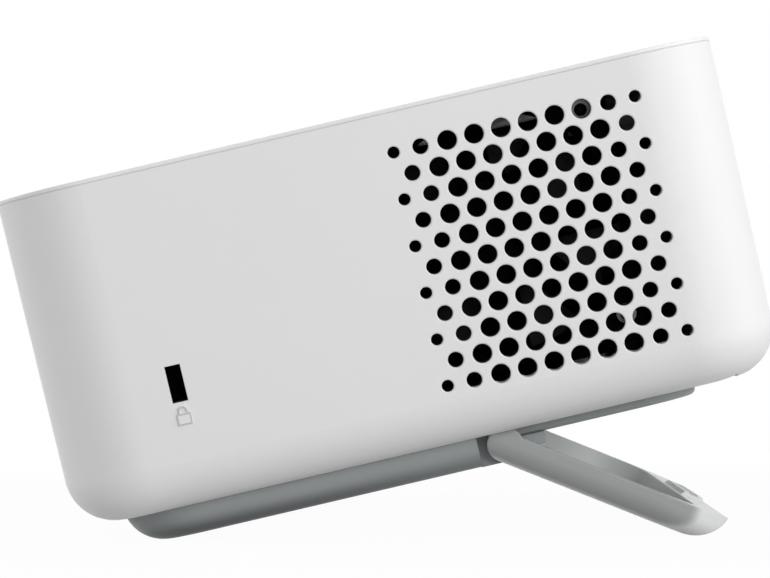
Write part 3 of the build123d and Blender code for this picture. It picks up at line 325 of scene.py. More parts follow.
def shell_plastic(name, colour, inside_shade):
    """The moulded plastic, with matt near-black painted shade on the inner side of the end walls,
    for the shade in the vents.
    """
    web = Web(name)
    cloud = web.noise(CLOUD, detail=3)
    speck = web.noise(0.22 * MM, detail=2)
    tint = web.tones(cloud, colour, 0.985, 1.015)
    fleck = web.mix(speck * 0.15, tint, rgba(colour, 0.93))
    left, right = (web.depth("shell", end_normal(side)) for side in (-1, 1))
    along = web.depth("shell", FORWARD).least(web.depth("shell", -FORWARD))
    below = web.depth("shell", -UP)
    inside = left.least(right) > SHADE_EDGE
    # where near-black shade is painted inside the end walls, for the shade in the vents
    painted = inside * (along > SHADE_CORNER) * (below > SHADE_BOTTOM)
    return web.surface(
        {
            "Base Color": web.mix(painted, fleck, rgba(inside_shade)),
            "Roughness": cloud.between(0.46, 0.52) + painted * 0.3,
            "Normal": web.bump(speck, strength=0.25, depth=0.012 * MM, edge=0.2 * MM),
        },
        {"Specular IOR Level": 0.4},
    )


def soft_rubber(name, colour):
    """Dusty rubber with a pebbled skin."""
    web = Web(name)
    dust = web.noise(6 * MM, detail=4)
    pebble = web.cells(per_metre=1600.0, feature="SMOOTH_F1")
    return web.surface(
        {
            "Base Color": web.tones(dust * 0.5, colour, 1.0, 2.2),
            "Roughness": dust.between(0.75, 0.9),
            "Normal": web.bump(pebble, strength=0.5, depth=0.05 * MM),
        },
        {"Specular IOR Level": 0.25},
    )


def turned_metal(name, colour, roughness, along):
    """Metal with fine machining streaks that run along one direction."""
    web = Web(name)
    drawn = 0.97  # how far the grain is drawn out along the streaks, from 0 to 1
    stretch = tuple(1 - drawn * abs(part) for part in along)
    lines = web.noise(0.12 * MM, detail=3, stretch=stretch)
    stain = web.noise(12 * MM, detail=3)
    return web.surface(
        {
            "Base Color": web.tones(stain, colour, 0.88, 1.06),
            "Roughness": lines.between(roughness - 0.06, roughness + 0.08),
            "Normal": web.bump(lines, strength=0.2, depth=0.01 * MM),
        },
        {"Metallic": 1.0},
    )


def cast_metal(name, colour):
    """Bead-blasted casting."""
    web = Web(name)
    pits = web.noise(0.35 * MM, detail=4, roughness=0.65)
    stain = web.noise(15 * MM, detail=3)
    return web.surface(
        {
            "Base Color": web.tones(stain, colour, 0.85, 1.08),
            "Roughness": pits.between(0.42, 0.62),
            "Normal": web.bump(pits, strength=0.4, depth=0.04 * MM),
        },
        {"Metallic": 1.0},
    )


def clear_glass(name, colour):
    """Coated optical glass, with the coating's purple reflection painted into its colour, a little
    more towards its edge.
    """
    web = Web(name)
    coating_reflection = (0.42, 0.34, 0.62)
    # painted reflection: more of the coating's hue where the surface turns away from view
    rim = web.add("ShaderNodeLayerWeight", {}, {"Blend": 0.4}, output="Facing")
    return web.surface(
        {"Base Color": web.mix(rim, rgba(colour), rgba(coating_reflection))},
        {"Roughness": 0.02, "Transmission Weight": 1.0, "IOR": 1.52, "Coat Weight": 1.0},
    )


def circuit_board(name, colour):
    """Solder mask over copper tracks in two directions, with tinned vias."""
    web = Web(name)
    track, pitch_across, pitch_back = 0.5 * MM, 1.6 * MM, 2.1 * MM
    pad, hole = 0.16, 0.08  # radii of a via, as shares of the room between vias
    tin = (0.62, 0.56, 0.38)
    across = web.along(RIGHT).wrapped(pitch_across)
    back = web.along(FORWARD).wrapped(pitch_back)
    patch = web.noise(9 * MM, detail=1)
    tracks = (across < track) * (patch > 0.5) + (back < track) * (patch < 0.5)
    vias = web.cells(per_metre=320.0, feature="F1")
    ring = (vias < pad) * (vias > hole)
    mask = web.tones(tracks * 0.7, colour, 1.0, 1.9)
    return web.surface(
        {
            "Base Color": web.mix(ring, mask, rgba(tin)),
            "Roughness": tracks.between(0.38, 0.46),
            "Normal": web.bump(tracks.most(ring), strength=0.3, depth=0.035 * MM),
        },
        {"Specular IOR Level": 0.5},
    )


def ribbon_cable(name, colour):
    """Flat ribbon with evenly spaced conductors."""
    web = Web(name)
    pitch = 1.0 * MM
    lane = web.along(RIGHT).wrapped(pitch)
    strand = (lane - pitch / 2).size() < 0.3 * pitch
    return web.surface(
        {
            "Base Color": web.tones(strand, colour, 1.0, 0.75),
            "Roughness": strand.between(0.4, 0.5),
            "Normal": web.bump(strand, strength=0.4, depth=0.08 * MM),
        },
        {"Specular IOR Level": 0.5},
    )


def pressed_paper(name, colour):
    """Fibrous loudspeaker paper."""
    web = Web(name)
    fibre = web.noise(0.5 * MM, detail=5, roughness=0.7, stretch=(1, 0.4, 1))
    return web.surface(
        {
            "Base Color": web.tones(fibre, colour, 0.7, 1.5),
            "Roughness": fibre.between(0.85, 0.95),
            "Normal": web.bump(fibre, strength=0.6, depth=0.06 * MM),
        },
        {"Sheen Weight": 0.2},
    )


def glossy_plastic(name, colour, roughness, milky=0.0):
    """Polished moulding with faint wipe marks, milky by a share from 0 to 1."""
    web = Web(name)
    wipe = web.noise(3 * MM, detail=4, stretch=(0.3, 1, 1))
    return web.surface(
        {
            "Base Color": web.tones(wipe, colour, 0.94, 1.06),
            "Roughness": wipe.between(roughness, roughness + 0.06),
        },
        {"Specular IOR Level": 0.35, "Subsurface Weight": milky},
    )


def printed_ink(name, colour):
    """Screen-printed ink, slightly uneven in tone and gloss."""
    web = Web(name)
    grain = web.noise(0.15 * MM, detail=3)
    return web.surface(
        {
            "Base Color": web.tones(grain, colour, 0.85, 1.15),
            "Roughness": grain.between(0.5, 0.65),
        },
        {"Specular IOR Level": 0.3},
    )


# ---- settings ----


def colour_setting(label, help_text, default):
    return FloatVectorProperty(
        name=label,
        description=help_text,
        default=default,
        subtype="COLOR",
        size=3,
        min=0.0,
        max=1.0,
    )


class BodyFinish(bpy.types.PropertyGroup):
    """Colours of the mouldings."""

    white: colour_setting("White", "Colour of the shell and cover", (0.80, 0.80, 0.80))
    base: colour_setting("Base", "Colour of the base", (0.355, 0.378, 0.383))
    # painted light: the stand's grey made lighter inside it and on its rim
    stand: colour_setting("Stand", "Colour inside the fold-out stand", (0.70, 0.72, 0.705))
    # painted shade: the stand's grey made darker on its sides
    skin: colour_setting("Skin", "Colour of the stand's sides", (0.31, 0.324, 0.318))
    # painted shade along the base's lower edge, darkest at its rear
    sole_shade: colour_setting("Sole", "Colour of the base's lower edge", (0.09, 0.095, 0.1))
    key: colour_setting("Keys", "Colour of the keys", (0.66, 0.66, 0.66))
    ink: colour_setting("Ink", "Colour of the marks on the keys", (0.12, 0.12, 0.13))
    dark: colour_setting("Dark", "Colour of the black mouldings", (0.012, 0.012, 0.013))


class DetailSizes(bpy.types.PropertyGroup):
    """Sizes and numbers of the small details."""

    mark: FloatProperty(
        name="Mark", description="Size of a key's mark", default=3.4 * MM, unit="LENGTH"
    )
    mark_line: FloatProperty(
        name="Mark line", description="Line width of a mark", default=0.5 * MM, unit="LENGTH"
    )
    mark_height: FloatProperty(
        name="Mark height", description="Thickness of the print", default=0.04 * MM, unit="LENGTH"
    )
    baffles: IntProperty(name="Baffles", description="Rings inside the lens barrel", default=5)
    contacts: IntProperty(name="Contacts", description="Contacts of a socket", default=9)


class StudioSettings(bpy.types.PropertyGroup):
    """Camera, lamps and floor."""

    distance: FloatProperty(
        name="Distance", description="Camera to the middle", default=0.945, unit="LENGTH"
    )
    height: FloatProperty(
        name="Height", description="Camera above the floor", default=0.048395, unit="LENGTH"
    )
    aside: FloatProperty(
        name="Aside", description="Camera's place along the depth", default=0.000327, unit="LENGTH"
    )
    roll: FloatProperty(
        name="Roll",
        description="Turn of the camera about its view",
        default=math.radians(-0.63),
        unit="ROTATION",
    )
    lens: FloatProperty(name="Lens", description="Focal length in millimetres", default=206.98)
    key_power: FloatProperty(
        name="Key", description="Lamp at the front", default=8.0, unit="POWER"
    )
    fill_power: FloatProperty(
        name="Fill", description="Lamp beside the camera", default=6.0, unit="POWER"
    )
    top_power: FloatProperty(name="Top", description="Overhead lamp", default=2.6, unit="POWER")
    rim_power: FloatProperty(name="Rim", description="Lamp behind", default=5.0, unit="POWER")
    world_level: FloatProperty(name="World", description="Even light all round", default=0.385)
    fade_start: FloatProperty(
        name="Shadow", description="Reach of the shadow", default=0.16, unit="LENGTH"
    )
    fade_end: FloatProperty(
        name="White", description="Where the floor is pure white", default=0.34, unit="LENGTH"
    )


class Look(bpy.types.PropertyGroup):
    """Everything that can be set."""

    body: PointerProperty(name="Body", description="Colours", type=BodyFinish)
    sizes: PointerProperty(name="Details", description="Sizes", type=DetailSizes)
    studio: PointerProperty(name="Studio", description="Camera and light", type=StudioSettings)


# ---- operators: finishes of the CAD pieces ----


class ProjectorOperator(bpy.types.Operator):
    """Base of the operators."""

    bl_options = {"REGISTER", "UNDO"}

    @property
    def look(self):
        return bpy.context.scene.projector_look


class PROJECTOR_OT_body(ProjectorOperator):
    """Finish the shell, cover, tray bezel and keys"""

    bl_idname = "projector.body"
    bl_label = "Body"

    def execute(self, context):
        body = self.look.body
        # near black: painted shade inside the end walls, seen through the vents
        inside_shade = (0.006, 0.006, 0.006)
        cover = moulded_plastic("cover_white", body.white, grain=0.18 * MM, roughness=0.46)
        key = moulded_plastic("key_grey", body.key, grain=0.15 * MM, roughness=0.42)
        window = glossy_plastic("window_dark", (0.012, 0.003, 0.005), roughness=0.18)
        pipe = glossy_plastic("light_pipe", (0.62, 0.72, 0.62), roughness=0.3, milky=0.3)
        dress(shell_plastic("shell_white", body.white, inside_shade), "shell")
        dress(cover, "top_cover", "tray_bezel")
        dress(key, *[name for name in nodes if name.endswith("_key")])
        dress(window, "receiver_window")
        dress(pipe, "status_light")
        return {"FINISHED"}


class PROJECTOR_OT_base(ProjectorOperator):
    """Finish the base, the stand and their small parts"""

    bl_idname = "projector.base"
    bl_label = "Base and stand"

    def execute(self, context):
        body = self.look.body
        base_grey = moulded_plastic(
            "base_grey",
            body.base,
            grain=0.30 * MM,
            roughness=0.48,
            tone=0.04,
            edge=0.3 * MM,
            gloss=0.15,
            # painted shade along the lower edge of the base
            other=body.sole_shade,
            share=self.low,
        )
        # one grey for the stand, split into painted shade on its sides and painted light inside
        # and on the rim
        stand_grey = moulded_plastic(
            "stand_grey",
            body.skin,
            grain=0.25 * MM,
            roughness=0.38,
            edge=0.6 * MM,
            gloss=0.5,
            other=body.stand,
            share=self.inner,
        )
        screw = turned_metal("screw_steel", (0.45, 0.45, 0.46), roughness=0.3, along=UP)
        pin = turned_metal("pin_steel", (0.55, 0.55, 0.56), roughness=0.25, along=RIGHT)
        brass = turned_metal("insert_brass", (0.60, 0.44, 0.20), roughness=0.3, along=UP)
        dress(base_grey, "base")
        dress(stand_grey, "stand")
        dress(soft_rubber("foot_rubber", (0.018, 0.018, 0.019)), "base_feet", "stand_pads")
        dress(screw, "base_screws")
        dress(pin, "hinge_pins")
        dress(brass, "tripod_insert")
        return {"FINISHED"}

    @staticmethod
    def low(web):
        """Painted shade along the base's lower edge: 1 at the rear of its bottom edge, 0 a little
        above it and towards the front.
        """
        front = web.depth("base", -FORWARD).fade(SOLE_SHADE_REAR, SOLE_SHADE_FRONT)
        return (1 - web.depth("base", -UP).fade(0, SOLE_SHADE_HEIGHT)) * (1 - front)

    @staticmethod
    def inner(web):
        """0 on the stand's sides, 1 between them; the sides get painted shade, the inside and the
        top of the rim painted light.
        """
        aside = web.depth("stand", RIGHT).least(web.depth("stand", -RIGHT))
        return aside.fade(STAND_SHADE_DEPTH, STAND_LIGHT_DEPTH)


class PROJECTOR_OT_optics(ProjectorOperator):
    """Finish the lens and the light engine"""

    bl_idname = "projector.optics"
    bl_label = "Lens and light engine"

    def execute(self, context):
        dark = self.look.body.dark
        barrel = moulded_plastic("barrel_black", dark, grain=0.2 * MM, roughness=0.5)
        ring = moulded_plastic("ring_black", dark, grain=0.12 * MM, roughness=0.42)
        sink = turned_metal("sink_aluminium", (0.62, 0.63, 0.64), roughness=0.35, along=UP)
        red, green, blue = (0.55, 0.03, 0.02), (0.03, 0.42, 0.05), (0.02, 0.06, 0.55)
        dress(glossy_plastic("bezel_black", dark, roughness=0.24), "lens_bezel")
        dress(barrel, "lens_barrel", "engine_cover")
        dress(ring, "focus_ring")
        dress(clear_glass("lens_glass", (0.86, 0.90, 0.96)), "front_lens", "rear_lens")
        dress(clear_glass("prism_glass", (0.95, 0.97, 0.97)), "prism", "pickup_lens")
        # near black: painted shade where the housing shows through the vents
        dress(cast_metal("engine_casting", (0.03, 0.03, 0.032)), "engine_housing")
        dress(sink, "heat_sink")
        for name, colour in (("red", red), ("green", green), ("blue", blue)):
            lamp = glossy_plastic(f"lamp_{name}", colour, roughness=0.12, milky=0.2)
            dress(lamp, f"{name}_lamp")
        return {"FINISHED"}


class PROJECTOR_OT_cooling(ProjectorOperator):
    """Finish the fan and the speaker behind the vents"""

    bl_idname = "projector.cooling"
    bl_label = "Fan and speaker"

    def execute(self, context):
        # the fan and speaker are darkened to painted shade behind the vents
        dark = tuple(VENT_SHADE * part for part in self.look.body.dark)
        fan = moulded_plastic("fan_black", dark, grain=0.25 * MM, roughness=0.7, gloss=0.02)
        rotor = moulded_plastic("rotor_black", dark, grain=0.15 * MM, roughness=0.6, gloss=0.02)
        screw = turned_metal("fan_screw_steel", (0.16, 0.16, 0.165), roughness=0.45, along=RIGHT)
        dress(fan, "fan_frame", "speaker_frame")
        dress(rotor, "fan_rotor")
        dress(screw, "fan_screws")
        dress(pressed_paper("cone_paper", (0.02, 0.02, 0.022)), "speaker_cone")
        return {"FINISHED"}


class PROJECTOR_OT_drive(ProjectorOperator):
    """Finish the disc drive"""

    bl_idname = "projector.drive"
    bl_label = "Disc drive"

    def execute(self, context):
        dark = self.look.body.dark
        steel = (0.52, 0.53, 0.55)
        sheet = turned_metal("drive_sheet", steel, roughness=0.34, along=RIGHT)
        rail = turned_metal("rail_steel", steel, roughness=0.28, along=FORWARD)
        rod = turned_metal("rod_steel", steel, roughness=0.16, along=FORWARD)
        tray = moulded_plastic("tray_black", dark, grain=0.3 * MM, roughness=0.46)
        sled = moulded_plastic("sled_black", dark, grain=0.2 * MM, roughness=0.5)
        hub = moulded_plastic("hub_grey", (0.05, 0.05, 0.055), grain=0.2 * MM, roughness=0.4)
        dress(sheet, "drive_chassis", "drive_lid")
        dress(rail, "left_rail", "right_rail")
        dress(rod, "sled_rods")
        dress(tray, "tray")
        dress(sled, "pickup_sled")
        dress(cast_metal("motor_case", (0.5, 0.5, 0.52)), "spindle_motor")
        dress(hub, "spindle_hub")
        dress(ribbon_cable("ribbon_cream", (0.70, 0.67, 0.58)), "drive_ribbon")
        return {"FINISHED"}


class PROJECTOR_OT_boards(ProjectorOperator):
    """Finish the circuit boards and sockets"""

    bl_idname = "projector.boards"
    bl_label = "Boards and sockets"

    def execute(self, context):
        dark = self.look.body.dark
        mask = circuit_board("board_mask", (0.012, 0.075, 0.035))
        case = turned_metal("socket_shell", (0.62, 0.62, 0.63), roughness=0.24, along=RIGHT)
        socket = moulded_plastic("socket_black", dark, grain=0.2 * MM, roughness=0.4)
        dress(mask, "main_board", "keypad_board", "imager_board")
        dress(case, "video_port", "data_port")
        dress(socket, "audio_jack", "power_inlet")
        return {"FINISHED"}


# ---- operators: new pieces ----


def linked(verts, kind):
    """The link_edges or link_faces of some verts, each once and always in one order."""
    return list(dict.fromkeys(item for vert in verts for item in getattr(vert, kind)))


def ring_mark(mesh, radius, width, height, sweep=math.tau, start=0.0, steps=48):
    """Flat ring, or part of one, about the Z axis."""
    corner = width / math.sqrt(2)
    profile = bmesh.ops.create_circle(mesh, cap_ends=True, segments=4, radius=corner)["verts"]
    turn = Matrix.Rotation(QUARTER / 2, 4, "Z")
    stand_up = Matrix.Rotation(QUARTER, 4, "X")
    squash = Matrix.Diagonal((1, 1, height / width, 1))
    place = Matrix.Rotation(start, 4, "Z") @ Matrix.Translation((radius, 0, height / 2))
    bmesh.ops.transform(mesh, matrix=place @ squash @ stand_up @ turn, verts=profile)
    whole = sweep == math.tau
    faces = linked(profile, "link_faces")
    if whole:
        bmesh.ops.delete(mesh, geom=faces, context="FACES_ONLY")
        faces = []
    bmesh.ops.spin(
        mesh,
        geom=profile + linked(profile, "link_edges") + faces,
        cent=(0, 0, 0),
        axis=(0, 0, 1),
        angle=sweep,
        steps=steps,
        use_merge=whole,
        use_duplicate=False,
    )
    bmesh.ops.remove_doubles(mesh, verts=mesh.verts, dist=WELD)


def block(mesh, size, centre):
    """Box of a size along X, Y and Z, about a centre."""
    corners = bmesh.ops.create_cube(mesh, size=1)["verts"]
    place = Matrix.Translation(centre) @ Matrix.Diagonal((*size, 1))
    bmesh.ops.transform(mesh, matrix=place, verts=corners)


def bar_mark(mesh, length, width, height, x=0.0, y=0.0):
    """Flat bar along X, centred on a point."""
    block(mesh, (length, width, height), (x, y, height / 2))


def arrow_mark(mesh, radius, height, heading, x=0.0, y=0.0):
    """Flat triangle that points along a heading, which is 0 along Y."""
    cone = bmesh.ops.create_cone(
        mesh, cap_ends=True, segments=3, radius1=radius, radius2=radius, depth=height
    )
    place = Matrix.Translation((x, y, height / 2)) @ Matrix.Rotation(heading, 4, "Z")
    bmesh.ops.transform(mesh, matrix=place, verts=cone["verts"])


class PROJECTOR_OT_marks(ProjectorOperator):
    """Print plain marks on the keys"""

    bl_idname = "projector.marks"
    bl_label = "Key marks"

    def execute(self, context):
        sizes = self.look.sizes
        size, line, high = sizes.mark, sizes.mark_line, sizes.mark_height
        ring, arrow = size / 2, size / 2.6  # radius of a ring, and of the circle round an arrow
        sweep, gap = 4.7, 0.8  # angle of the power mark's arc, and half the angle it leaves open
        headings = {"up": 0.0, "left": QUARTER, "down": 2 * QUARTER, "right": -QUARTER}
        ink = printed_ink("mark_ink", self.look.body.ink)
        for name in ("ok", "up", "down", "left", "right", "power", "play", "disc"):
            mesh = bmesh.new()
            if name == "ok":
                ring_mark(mesh, ring, line, high)
            elif name == "power":
                ring_mark(mesh, ring, line, high, sweep=sweep, start=QUARTER + gap)
                bar_mark(mesh, line, ring, high, y=ring)
            elif name == "play":
                arrow_mark(mesh, arrow, high, -QUARTER, x=-size / 6)
                bar_mark(mesh, line, size * 0.58, high, x=arrow)
            elif name == "disc":
                arrow_mark(mesh, size / 2.4, high, 0.0, y=size / 10)
                bar_mark(mesh, size * 0.7, line, high, y=-arrow)
            else:
                arrow_mark(mesh, arrow, high, headings[name])
            place = on_face(f"{name}_key", UP)
            new_piece(f"{name}_mark", mesh, place, f"{name}_key", ink)
        return {"FINISHED"}


class PROJECTOR_OT_lock_mark(ProjectorOperator):
    """Paint grey lines along the outline of the raised padlock under the lock slot, as painted
    shade at its edges
    """

    bl_idname = "projector.lock_mark"
    bl_label = "Padlock outline"

    def execute(self, context):
        line, high = 0.3 * MM, 0.02 * MM
        width, height = 2.5 * MM, 1.9 * MM  # of the padlock's body
        bow, neck = 0.78 * MM, 0.65 * MM  # radius of its bow, and height from the body up to it
        body_y = -0.8 * MM
        bow_y = body_y + height / 2 + neck
        leg = neck - line / 2
        mesh = bmesh.new()
        ring_mark(mesh, bow, line, high, sweep=math.pi, steps=24)
        bmesh.ops.translate(mesh, verts=mesh.verts, vec=(0, bow_y, 0))
        for side in (-1, 1):
            bar_mark(mesh, line, leg, high, side * bow, bow_y - leg / 2)
            bar_mark(mesh, line, height + line, high, side * width / 2, body_y)
            bar_mark(mesh, width - line, line, high, 0.0, body_y + side * height / 2)
        place = on_face("shell", end_normal(-1), FORWARD)
        # grey lines: painted shade along the edges of the raised padlock
        ink = printed_ink("lock_ink", (0.56, 0.56, 0.56))
        new_piece("lock_mark", mesh, place, "body", ink)
        return {"FINISHED"}


class PROJECTOR_OT_end_details(ProjectorOperator):
    """Add the near-black pocket behind the lock slot and flat black discs in the sockets of the
    fan screws, both painted shade
    """

    bl_idname = "projector.end_details"
    bl_label = "Lock pocket and screw sockets"

    def execute(self, context):
        # near black, darker than the other black mouldings: painted shade in the lock slot and the
        # screws' sockets
        colour = (0.004, 0.004, 0.004)
        black = moulded_plastic("pocket_black", colour, grain=0.2 * MM, roughness=0.7, gloss=0.05)
        self.lock_pocket(black)
        self.screw_sockets(black)
        return {"FINISHED"}

    @staticmethod
    def lock_pocket(finish):
        width, height, depth = 5.4 * MM, 9.6 * MM, 6.0 * MM
        wall = 0.8 * MM
        slot_up = 6.1 * MM  # from the middle of the raised padlock up to the middle of the slot
        behind = 2.9 * MM  # from the raised padlock's face in to the mouth of the pocket
        mesh = bmesh.new()
        block(mesh, (width, height, depth), (0, slot_up, -behind - depth / 2))
        mouth = max(mesh.faces, key=lambda face: face.calc_center_median().z)
        bmesh.ops.inset_region(mesh, faces=[mouth], thickness=wall)
        bmesh.ops.translate(mesh, verts=mouth.verts, vec=(0, 0, wall - depth))
        place = on_face("shell", end_normal(-1), FORWARD)
        new_piece("lock_pocket", mesh, place, "body", finish)

    @staticmethod
    def screw_sockets(finish):
        # flat black discs: painted shade in place of the screws' socket recesses
        reach = 20.0 * MM  # from the middle of the fan to a screw, both ways
        radius, taper, high = 1.25 * MM, 0.1 * MM, 0.04 * MM
        mesh = bmesh.new()
        for x in (-reach, reach):
            for y in (-reach, reach):
                lobe = bmesh.ops.create_cone(
                    mesh,
                    cap_ends=True,
                    segments=24,
                    radius1=radius,
                    radius2=radius - taper,
                    depth=high,
                )
                bmesh.ops.translate(mesh, verts=lobe["verts"], vec=(x, y, high / 2))
        place = on_face("fan_screws", end_normal(-1), FORWARD)
        new_piece("screw_sockets", mesh, place, "body", finish)


class PROJECTOR_OT_lens_rings(ProjectorOperator):
    """Add the stepped baffles and the retaining ring of the lens"""

    bl_idname = "projector.lens_rings"
    bl_label = "Lens rings"

    def execute(self, context):
        bore = 15.0 * MM  # radius inside the barrel
        colour = (0.008, 0.008, 0.009)
        finish = moulded_plastic("baffle_black", colour, grain=0.15 * MM, roughness=0.6)
        mouth = on_face("lens_barrel", FORWARD)
        glass = on_face("rear_lens", FORWARD)
        room = (mouth.translation - glass.translation).dot(FORWARD)
        self.baffles(self.look.sizes.baffles, bore, room, mouth, finish)
        self.retainer(bore, mouth, finish)
        return {"FINISHED"}

    @staticmethod
    def baffles(count, bore, room, mouth, finish):
        first = 9.0 * MM  # from the mouth in to the first baffle
        last = 1.0 * MM  # room left in front of the rear lens
        lip, step = 1.0 * MM, 0.9 * MM  # width of the first baffle, and what each next one adds
        slope = 0.6  # how far a baffle leans back, as a share of the pitch
        fit, wall = 0.02 * MM, 0.2 * MM
        pitch = (room - first - last) / count
        mesh = bmesh.new()
        for index in range(count):
            depth = first + index * pitch
            radius = bore - lip - index * step
            outer = bmesh.ops.create_circle(mesh, segments=72, radius=bore - fit)["verts"]
            inner = bmesh.ops.create_circle(mesh, segments=72, radius=radius)["verts"]
            bmesh.ops.translate(mesh, verts=outer, vec=(0, 0, -depth))
            bmesh.ops.translate(mesh, verts=inner, vec=(0, 0, -depth - slope * pitch))
            bmesh.ops.bridge_loops(mesh, edges=linked(outer + inner, "link_edges"))
        bmesh.ops.solidify(mesh, geom=mesh.faces, thickness=wall)
        new_piece("lens_baffles", mesh, mouth, "body", finish)

    @staticmethod
    def retainer(bore, mouth, finish):
        width, height, fit = 1.3 * MM, 0.5 * MM, 0.05 * MM
        recess = 0.7 * MM  # from the mouth in to the ring's back
        mesh = bmesh.new()
        ring_mark(mesh, bore - fit - width / 2, width, height, steps=96)
        place = mouth @ Matrix.Translation((0, 0, -recess))
        new_piece("lens_retainer", mesh, place, "body", finish)


class PROJECTOR_OT_contacts(ProjectorOperator):
    """Add the gilt contacts of the two flat sockets"""

    bl_idname = "projector.contacts"
    bl_label = "Socket contacts"

    def execute(self, context):
        gilt = turned_metal("contact_gilt", (0.72, 0.55, 0.24), roughness=0.22, along=FORWARD)
        count = self.look.sizes.contacts
        size = (0.45 * MM, 0.1 * MM, 6.0 * MM)
        below = 0.86 * MM  # from the middle of the mouth down to the contacts
        depth = 4.5 * MM  # from the mouth in to their middle
        edge = 0.02 * MM
        for name, share in (("video_port", 0.62), ("data_port", 0.5)):  # of the socket's width
            low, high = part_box(name)
            span = (high[0] - low[0]) * share
            mesh = bmesh.new()
            for index in range(count):
                x = (index / (count - 1) - 0.5) * span
                block(mesh, size, (x, below, -depth))
            bmesh.ops.bevel(
                mesh,
                geom=mesh.edges,
                offset=edge,
                segments=1,
                profile=0.5,
                affect="EDGES",
                material=-1,
            )
            place = on_face(name, -FORWARD)
            new_piece(f"{name}_contacts", mesh, place, "body", gilt)
        return {"FINISHED"}


class PROJECTOR_OT_spindle(ProjectorOperator):
    """Add the friction ring and the three clamp balls of the disc spindle"""

    bl_idname = "projector.spindle"
    bl_label = "Spindle details"

    def execute(self, context):
        ring_radius, ring_width, ring_height = 4.2 * MM, 1.0 * MM, 0.12 * MM
        ball_radius = 0.8 * MM
        reach, below = 6.35 * MM, 0.85 * MM  # of a ball, from the axis and from the hub's top
        rubber = soft_rubber("hub_rubber", (0.02, 0.02, 0.021))
        steel = turned_metal("ball_steel", (0.6, 0.6, 0.62), roughness=0.12, along=UP)
        top = on_face("spindle_hub", UP)
        ring = bmesh.new()
        ring_mark(ring, ring_radius, ring_width, ring_height, steps=64)
        new_piece("hub_friction_ring", ring, top, "spindle", rubber)
        balls = bmesh.new()
        for index in range(3):
            ball = bmesh.ops.create_uvsphere(
                balls, u_segments=24, v_segments=16, radius=ball_radius
            )
            turn = Matrix.Rotation(index * math.tau / 3, 4, "Z")
            place = turn @ Matrix.Translation((reach, 0, -below))
            bmesh.ops.transform(balls, matrix=place, verts=ball["verts"])
        new_piece("clamp_balls", balls, top, "spindle", steel)
        return {"FINISHED"}


# ---- stage ----

MIDDLE = Vector((0, 0, 0.05))  # what the lamps look at
LAMPS = (
    # name, place, width and height
    ("key", (-0.36, -1.3, 0.55), (0.9, 0.8)),
    ("fill", (-1.15, -0.45, 0.42), (0.7, 0.5)),
    ("top", (-0.1, 0.0, 1.2), (1.2, 1.0)),
    ("rim", (0.35, 1.0, 0.3), (0.5, 0.7)),
)
FLOOR_REACH = 4.0  # from the middle of the floor to its edge
FLOOR_WHITE = 0.97  # share of plain white in what is seen of the floor under the object


def soft_lamp(name, place, size, power):
    """Rectangular lamp that looks at the middle and isn't seen itself."""
    lamp = bpy.data.lights.new(name, "AREA")
    lamp.shape = "RECTANGLE"
    lamp.size, lamp.size_y = size
    lamp.energy = power
    holder = bpy.data.objects.new(name, lamp)
    bpy.context.scene.collection.objects.link(holder)
    holder.location = place
    holder.rotation_euler = (MIDDLE - holder.location).to_track_quat("-Z", "Y").to_euler()
    holder.visible_camera = False


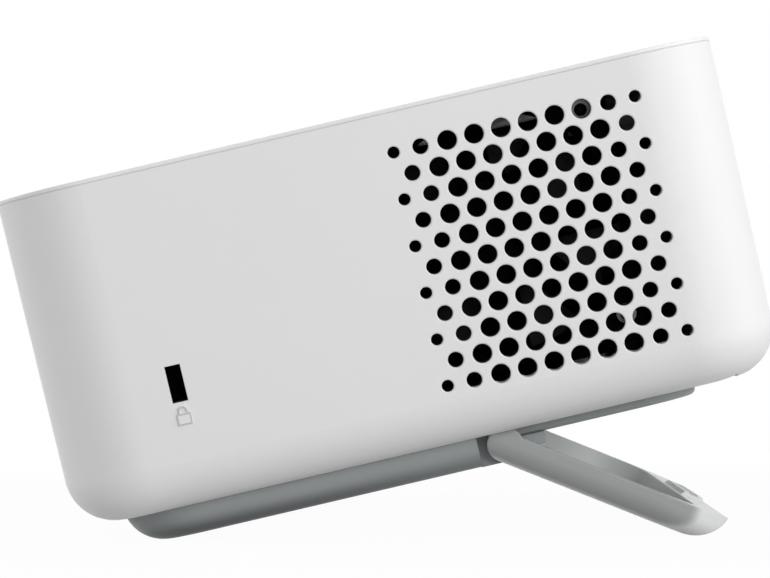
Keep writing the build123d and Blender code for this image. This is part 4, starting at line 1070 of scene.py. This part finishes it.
class PROJECTOR_OT_studio(ProjectorOperator):
    """Set up the floor, the soft light and the camera"""

    bl_idname = "projector.studio"
    bl_label = "Studio"

    def execute(self, context):
        studio = self.look.studio
        bpy.context.scene.view_settings.view_transform = "Standard"
        self.floor(studio.fade_start, studio.fade_end)
        self.world(studio.world_level)
        for name, place, size in LAMPS:
            soft_lamp(f"{name}_lamp", place, size, getattr(studio, f"{name}_power"))
        self.camera(studio)
        return {"FINISHED"}

    @staticmethod
    def floor(fade_start, fade_end):
        mesh = bmesh.new()
        bmesh.ops.create_grid(mesh, x_segments=8, y_segments=8, size=FLOOR_REACH)
        data = bpy.data.meshes.new("floor")
        mesh.to_mesh(data)
        mesh.free()
        floor = bpy.data.objects.new("floor", data)
        bpy.context.scene.collection.objects.link(floor)
        web = Web("floor_paper")
        paper = web.add("ShaderNodeBsdfDiffuse", {}, {"Color": (0.56, 0.56, 0.56, 1)})
        white = web.add("ShaderNodeEmission", {}, {"Color": (1, 1, 1, 1), "Strength": 1.0})
        away = web.add(
            "ShaderNodeVectorMath", {"operation": "LENGTH"}, {0: web.place()}, output="Value"
        )
        share = web.background() * away.fade(fade_start, fade_end).between(FLOOR_WHITE, 1.0)
        web.end(web.add("ShaderNodeMixShader", {}, {0: share, 1: paper, 2: white}))
        data.materials.append(web.material)

    @staticmethod
    def world(level):
        world = bpy.data.worlds.new("studio_world")
        bpy.context.scene.world = world
        web = Web("studio_world", world)
        light = web.add("ShaderNodeBackground", {}, {"Color": (1, 1, 1, 1), "Strength": level})
        white = web.add("ShaderNodeBackground", {}, {"Color": (1, 1, 1, 1), "Strength": 1.0})
        blend = web.add("ShaderNodeMixShader", {}, {0: web.background(), 1: light, 2: white})
        web.end(blend, "ShaderNodeOutputWorld")

    @staticmethod
    def camera(studio):
        camera = bpy.data.objects.new("camera", bpy.data.cameras.new("camera"))
        bpy.context.scene.collection.objects.link(camera)
        camera.location = (-studio.distance, studio.aside, studio.height)
        level = Matrix.Rotation(-QUARTER, 3, "Z") @ Matrix.Rotation(QUARTER, 3, "X")
        camera.rotation_euler = (level @ Matrix.Rotation(studio.roll, 3, "Z")).to_euler()
        camera.data.lens = studio.lens
        camera.data.sensor_width = 36.0
        camera.data.clip_end = 20
        bpy.context.scene.camera = camera


# ---- panel and registration ----

OPERATORS = (
    PROJECTOR_OT_body,
    PROJECTOR_OT_base,
    PROJECTOR_OT_optics,
    PROJECTOR_OT_cooling,
    PROJECTOR_OT_drive,
    PROJECTOR_OT_boards,
    PROJECTOR_OT_marks,
    PROJECTOR_OT_lock_mark,
    PROJECTOR_OT_end_details,
    PROJECTOR_OT_lens_rings,
    PROJECTOR_OT_contacts,
    PROJECTOR_OT_spindle,
    PROJECTOR_OT_studio,
)


class PROJECTOR_PT_panel(bpy.types.Panel):
    """Lists the settings and the pieces"""

    bl_label = "Projector"
    bl_idname = "PROJECTOR_PT_panel"
    bl_space_type = "VIEW_3D"
    bl_region_type = "UI"
    bl_category = "Projector"

    def draw(self, context):
        look = context.scene.projector_look
        for group in (look.body, look.sizes, look.studio):
            box = self.layout.box()
            for name in group.__annotations__:
                box.prop(group, name)
        for operator in OPERATORS:
            self.layout.operator(operator.bl_idname)


CLASSES = (BodyFinish, DetailSizes, StudioSettings, Look, *OPERATORS, PROJECTOR_PT_panel)


def register():
    for item in CLASSES:
        bpy.utils.register_class(item)
    bpy.types.Scene.projector_look = PointerProperty(type=Look)


def unregister():
    del bpy.types.Scene.projector_look
    for item in reversed(CLASSES):
        bpy.utils.unregister_class(item)


def main():
    register()
    for operator in OPERATORS:
        group, name = operator.bl_idname.split(".")
        getattr(getattr(bpy.ops, group), name)()
    bpy.context.view_layer.update()


if __name__ == "__main__":
    main()
